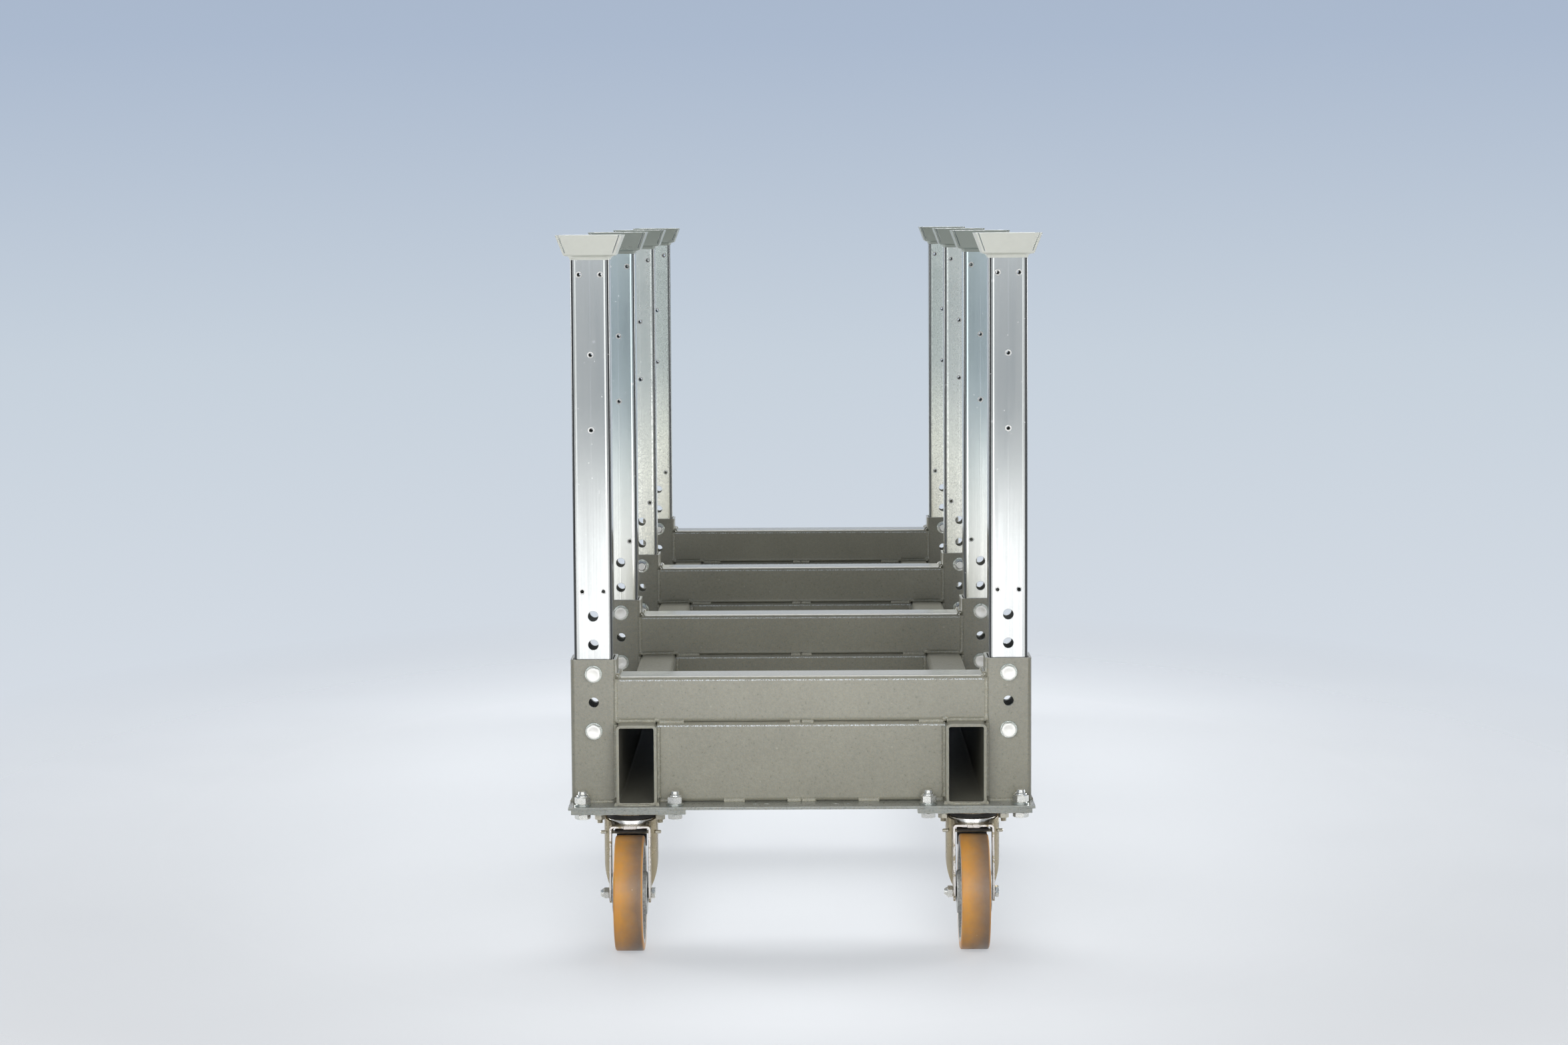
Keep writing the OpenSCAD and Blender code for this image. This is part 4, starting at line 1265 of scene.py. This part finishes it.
class TROLLEY_OT_weld_beads(bpy.types.Operator):
    """Lay the weld beads of the frame and caps"""

    bl_idname = "trolley.weld_beads"
    bl_label = "Weld beads"

    def execute(self, context):
        look = context.scene.trolley_look
        r = look.bead_radius
        for n in ROWS:
            lay_beads(f"row_{n}", lambda sx: row_beads(n, sx, r), r)
        for end in ENDS:
            lay_beads(f"base_{end}", lambda sx: foot_beads(end), r)
        caps = cap_fillets("weld_beads_caps", look.post_corner, shared(finishes)["cap"])
        dress(caps, "frame", "cap_zinc")
        return {"FINISHED"}


# Posts and caps

POST_EDGE = 0.5 * MM
# Half of the face's width that the holes' rims lie in, inside the post's corners
HOLE_BAND = 26 * MM


class TROLLEY_OT_posts(bpy.types.Operator):
    """Dress the eight posts"""

    bl_idname = "trolley.posts"
    bl_label = "Posts"

    def execute(self, context):
        for node in POSTS:
            centre = middle(node)

            def sunk(face):
                """The sunk rims of the small holes, bare from the drill and painted white as a
                highlight.
                """
                off = face.calc_center_median().x - centre.x
                return 0.3 < abs(face.normal.y) < 0.95 and abs(off) < HOLE_BAND

            post = rounded_copy(
                node, "zinc", shared(finishes)["post"], "post_zinc", POST_EDGE, bright=sunk)
            map_section(post, centre)
        return {"FINISHED"}


class TROLLEY_OT_caps(bpy.types.Operator):
    """Dress the flared caps"""

    bl_idname = "trolley.caps"
    bl_label = "Caps"

    def execute(self, context):
        width = context.scene.trolley_look.sheet_round
        for side in SIDES:
            rounded_copy(
                f"post_caps_{side}", "zinc", shared(finishes)["cap"], "cap_zinc", width)
        return {"FINISHED"}


# Fasteners

M16, M12, M10 = (8 * MM, 2 * MM), (6 * MM, 1.75 * MM), (5 * MM, 1.5 * MM)
LOCK_NUT_PLAY = 0.1 * MM


def fasten(node, axis, shape, material, *sizes):
    """One fastener of a shape on every seat of a node, turned by chance from the node's name."""
    seats = seats_of(node, axis)
    proto = shape(node + "_proto", seats[0], *sizes)
    seed = sum(ord(c) * (k + 1) for k, c in enumerate(node)) % 997
    seed += bpy.context.scene.trolley_look.seed
    obj = scatter(node + "_turned", proto, seats, shared(finishes)[material], seed)
    dress(obj, BODY_OF[node], "fastener_zinc", node)
    return seats


def fasten_nuts(node, axis, radius):
    """Lock nuts with their rings of nylon."""
    bore = radius + LOCK_NUT_PLAY
    seats = fasten(node, axis, nut_mesh, "bolt", bore)
    proto = insert_mesh(node + "_insert_proto", seats[0], bore)
    inserts = scatter(node + "_inserts", proto, seats, shared(finishes)["nylon"], 1)
    dress(inserts, BODY_OF[node], "fastener_zinc")


class TROLLEY_OT_post_fasteners(bpy.types.Operator):
    """Set the bolts, washers and lock nuts of the posts"""

    bl_idname = "trolley.post_fasteners"
    bl_label = "Post fasteners"

    def execute(self, context):
        fasten("post_bolts", "Y", bolt_mesh, "head", *M16)
        fasten("post_washers", "Y", washer_mesh, "washer", 8.75 * MM)
        fasten_nuts("post_nuts", "Y", M16[0])
        return {"FINISHED"}


class TROLLEY_OT_plate_fasteners(bpy.types.Operator):
    """Set the bolts, washers and lock nuts of the adapter plates"""

    bl_idname = "trolley.plate_fasteners"
    bl_label = "Adapter plate fasteners"

    def execute(self, context):
        fasten("plate_bolts", "Z", bolt_mesh, "bolt", *M16)
        fasten("plate_washers", "Z", washer_mesh, "washer", 8.75 * MM)
        fasten_nuts("plate_nuts", "Z", M16[0])
        return {"FINISHED"}


class TROLLEY_OT_caster_fasteners(bpy.types.Operator):
    """Set the countersunk screws, washers and nuts of the casters"""

    bl_idname = "trolley.caster_fasteners"
    bl_label = "Caster fasteners"

    def execute(self, context):
        fasten("caster_screws", "Z", screw_mesh, "screw", *M10)
        fasten("caster_washers", "Z", washer_mesh, "washer", 5.75 * MM)
        fasten("caster_nuts", "Z", plain_nut_mesh, "screw", 5.1 * MM)
        return {"FINISHED"}


class TROLLEY_OT_axle_fasteners(bpy.types.Operator):
    """Set the wheels' bolts and lock nuts"""

    bl_idname = "trolley.axle_fasteners"
    bl_label = "Axle fasteners"

    def execute(self, context):
        for bolts, nuts in (
            ("axle_bolt_front_left", "axle_nut_front_left"),
            ("axle_bolt_front_right", "axle_nut_front_right"),
            ("axle_bolts_rear", "axle_nuts_rear"),
        ):
            fasten(bolts, "X", bolt_mesh, "bolt", *M12)
            fasten_nuts(nuts, "X", M12[0])
        return {"FINISHED"}


# Casters

SEAL_FOLDS = 4
SEAL_WIDTH = 8.5 * MM
# The fork's cup: its depth below the race, and the radii that its outside lies between
CUP_DEPTH, CUP_INNER, CUP_OUTER = 11 * MM, 30 * MM, 47 * MM


class TROLLEY_OT_swivel_heads(bpy.types.Operator):
    """Dress the swivel plates, ball rings and kingpins"""

    bl_idname = "trolley.swivel_heads"
    bl_label = "Swivel heads"

    def execute(self, context):
        width = context.scene.trolley_look.sheet_round
        made = shared(finishes)
        low, high = span("swivel_ball_rings", "Z")
        outer = half_of("swivel_ball_rings", "Y")
        for side in SIDES:
            rounded_copy(f"swivel_plate_{side}", "zinc", made["fork"], "fork_zinc", width)
        inner = outer - SEAL_WIDTH
        outline = [(inner, low), (inner, high), (outer - 0.6 * MM, high)]
        step = (high - low) / SEAL_FOLDS
        for k in range(SEAL_FOLDS):
            top = high - (high - low) * k / SEAL_FOLDS
            outline += [
                (outer, top - 0.2 * step), (outer, top - 0.75 * step),
                (outer - 1.1 * MM, top - step),
            ]
        for side in SIDES:
            foot = Vector((*middle(f"swivel_plate_{side}")[:2], 0))
            seal = turned(f"swivel_seal_{side}", outline, foot, "Z", made["seal"])
            dress(seal, "frame", "dark_steel", "swivel_ball_rings")
        rounded_copy("kingpins", "zinc", made["bolt"], "fork_zinc", width)
        return {"FINISHED"}


class TROLLEY_OT_forks(bpy.types.Operator):
    """Dress the swivel forks and the fixed rear brackets"""

    bl_idname = "trolley.forks"
    bl_label = "Forks"

    def execute(self, context):
        width = context.scene.trolley_look.sheet_round
        zinc = shared(finishes)["fork"]
        race_low = span("swivel_ball_rings", "Z")[0]
        for side in SIDES:
            pivot = middle(f"swivel_plate_{side}")

            def on_cup(face):
                """The outside of the cup that holds the balls."""
                place = face.calc_center_median()
                off = Vector((place.x - pivot.x, place.y - pivot.y, 0))
                beside = CUP_INNER < off.length < CUP_OUTER
                below = race_low - CUP_DEPTH < place.z < race_low
                return beside and below and face.normal.dot(off.normalized()) > 0.3

            def cut(face):
                """The sheet's cut faces in front and behind, painted pale and less metallic as a
                highlight.
                """
                return abs(face.normal.y) > 0.75 and not on_cup(face)

            rounded_copy(
                f"fork_{side}", "zinc", zinc, "fork_zinc", width, bright=cut, glint=on_cup)
        rounded_copy("rear_fork_brackets", "zinc", zinc, "fork_zinc", width)
        return {"FINISHED"}


class TROLLEY_OT_brakes(bpy.types.Operator):
    """Dress the brake levers and their pins"""

    bl_idname = "trolley.brakes"
    bl_label = "Brakes"

    def execute(self, context):
        width = context.scene.trolley_look.sheet_round
        made = shared(finishes)
        for side in SIDES:
            rounded_copy(f"brake_pedal_{side}", "steel", made["steel"], "dark_steel", width)
            node = f"brake_pin_{side}"
            r, half = half_of(node, "Z"), half_of(node, "X")
            end = [(r, half - 2 * MM), (r * 0.9, half - 0.8 * MM), (r * 0.55, half), (0, half)]
            outline = [(radius, -x) for radius, x in reversed(end)] + end
            pin = turned(node + "_turned", outline, middle(node), "X", made["screw"], steps=24)
            dress(pin, BODY_OF[node], "fork_zinc", node)
        return {"FINISHED"}


# Wheels

# Depth and radius of a bearing's pocket in the hub, and the rim's inside and half width
POCKET, POCKET_RADIUS = 12 * MM, 18.5 * MM
RIM_INSIDE, RIM_SIDE = 80 * MM, 25 * MM
WEB = 6 * MM
RUBBER = 12 * MM
# Places across the tread's flat, from one side to the other, as shares of its half width
CROWN = (0.7, 0.45, 0.2, -0.05, -0.3, -0.55, -0.75)


def rounded_outline(corners, steps=4):
    """A closed outline through corners, each with its radius, distance along and rounding."""
    made = []
    points = [Vector(corner[:2]) for corner in corners]
    for k, here in enumerate(points):
        r = corners[k][2]
        if not r:
            made.append(tuple(here))
            continue
        one = (points[k - 1] - here).normalized()
        two = (points[(k + 1) % len(points)] - here).normalized()
        half = one.angle(two) / 2
        run = r / math.tan(half)
        centre = here + (one + two).normalized() * (r / math.sin(half))
        start, end = here + one * run - centre, here + two * run - centre
        turn = start.angle_signed(end)
        for s in range(steps + 1):
            arm = start.copy()
            arm.rotate(Matrix.Rotation(-turn * s / steps, 2))
            made.append(tuple(centre + arm))
    return made


def core_piece(node, cast, machined):
    """Cast hub, web and rim with fillets, machined on the rim and the hub's ends."""
    centre, hub, rim = middle(node), half_of(node, "X"), half_of(node, "Z")
    half = [
        (9 * MM, 0, 0), (9 * MM, hub - POCKET, 0), (POCKET_RADIUS, hub - POCKET, 0),
        (POCKET_RADIUS, hub, 0.6 * MM), (37 * MM, hub, 2.4 * MM), (40 * MM, WEB, 9 * MM),
        (76 * MM, WEB, 6 * MM), (RIM_INSIDE, RIM_SIDE - 2.5 * MM, 0),
        (RIM_INSIDE + 0.6 * MM, RIM_SIDE, 0.8 * MM), (rim, RIM_SIDE, 0.5 * MM), (rim, 0, 0),
    ]
    outline = rounded_outline(half + [(r, -x, rounding) for r, x, rounding in half[-2:0:-1]])
    obj = turned(node + "_cast", outline, centre, "X", cast, steps=72, angle=40)
    obj.data.materials.append(machined)
    for face in obj.data.polygons:
        x, y, z = face.center - centre
        if math.hypot(y, z) > RIM_INSIDE + 0.3 * MM or abs(x) > hub - 0.5 * MM:
            face.material_index = 1
    dress(obj, BODY_OF[node], "wheel_iron", node)


def tread_piece(node, material):
    """A tread with rounded shoulders, whose points carry their place across it."""
    centre, half, outer = middle(node), half_of(node, "X"), half_of(node, "Z")
    inner, shoulder, steps = outer - RUBBER, 3.5 * MM, 5
    outline = rounded_outline([
        (inner, -half, 0), (inner, half, 0), (outer, half, shoulder), (outer, -half, shoulder),
    ], steps)
    last_shoulder = len(outline) - (steps + 1)
    outline[last_shoulder:last_shoulder] = [(outer, half * share) for share in CROWN]
    obj = turned(node + "_cast", outline, centre, "X", material, steps=96, angle=40)
    across = obj.data.attributes.new("across", "FLOAT", "POINT")
    across.data.foreach_set("value", [(v.co.x - centre.x) / half for v in obj.data.vertices])
    dress(obj, BODY_OF[node], "tread", node)


def bearing_pieces(node, material):
    """Each bearing with its races, its recessed shield and its collar."""
    reach = half_of(node, "X")
    hub, bore, race, collar = 30 * MM, 6.2 * MM, 18.4 * MM, 9 * MM
    outline = [
        (bore, hub - POCKET), (race, hub - POCKET), (race, hub - 0.4 * MM),
        (race - 0.4 * MM, hub), (15.6 * MM, hub), (15.4 * MM, hub - 0.8 * MM),
        (11.2 * MM, hub - 0.8 * MM), (11 * MM, hub - 0.1 * MM), (collar, hub - 0.1 * MM),
        (collar, reach - 0.4 * MM), (collar - 0.4 * MM, reach), (bore, reach),
    ]
    for label, sign in (("a", -1), ("b", 1)):
        flipped = [(r, x * sign) for r, x in outline]
        obj = turned(f"{node}_{label}", flipped, middle(node), "X", material, steps=40)
        dress(obj, BODY_OF[node], "dark_steel", node)


class TROLLEY_OT_wheels(bpy.types.Operator):
    """Turn the cast wheels, their treads and bearings"""

    bl_idname = "trolley.wheels"
    bl_label = "Wheels"

    def execute(self, context):
        made = shared(finishes)
        for end in ENDS:
            for side in SIDES:
                core_piece(f"wheel_core_{end}_{side}", made["iron"], made["turned"])
                tread_piece(f"tread_{end}_{side}", made["tread"])
                bearing_pieces(f"bearings_{end}_{side}", made["steel"])
        return {"FINISHED"}


# Panel and registration

class TROLLEY_PT_panel(bpy.types.Panel):
    """The trolley's settings and steps"""

    bl_idname = "TROLLEY_PT_panel"
    bl_label = "Bar and pipe trolley"
    bl_space_type = "VIEW_3D"
    bl_region_type = "UI"
    bl_category = "Trolley"

    def draw(self, context):
        scene = context.scene
        for settings in (scene.trolley_look, scene.trolley_stage):
            box = self.layout.box()
            for name in settings.bl_rna.properties.keys():
                if name not in ("rna_type", "name"):
                    box.prop(settings, name)
        for step in STEPS:
            self.layout.operator(step.bl_idname, text=step.bl_label)


STEPS = (
    TROLLEY_OT_stage, TROLLEY_OT_tubes, TROLLEY_OT_weld_beads, TROLLEY_OT_posts, TROLLEY_OT_caps,
    TROLLEY_OT_post_fasteners, TROLLEY_OT_plate_fasteners, TROLLEY_OT_caster_fasteners,
    TROLLEY_OT_swivel_heads, TROLLEY_OT_forks, TROLLEY_OT_axle_fasteners, TROLLEY_OT_brakes,
    TROLLEY_OT_wheels,
)
CLASSES = (TrolleyLook, TrolleyStage) + STEPS + (TROLLEY_PT_panel,)


def register():
    for item in CLASSES:
        bpy.utils.register_class(item)
    bpy.types.Scene.trolley_look = PointerProperty(type=TrolleyLook)
    bpy.types.Scene.trolley_stage = PointerProperty(type=TrolleyStage)


def unregister():
    del bpy.types.Scene.trolley_stage
    del bpy.types.Scene.trolley_look
    for item in reversed(CLASSES):
        bpy.utils.unregister_class(item)


def main():
    register()
    for step in STEPS:
        area, name = step.bl_idname.split(".")
        getattr(getattr(bpy.ops, area), name)()


if __name__ == "__main__":
    main()
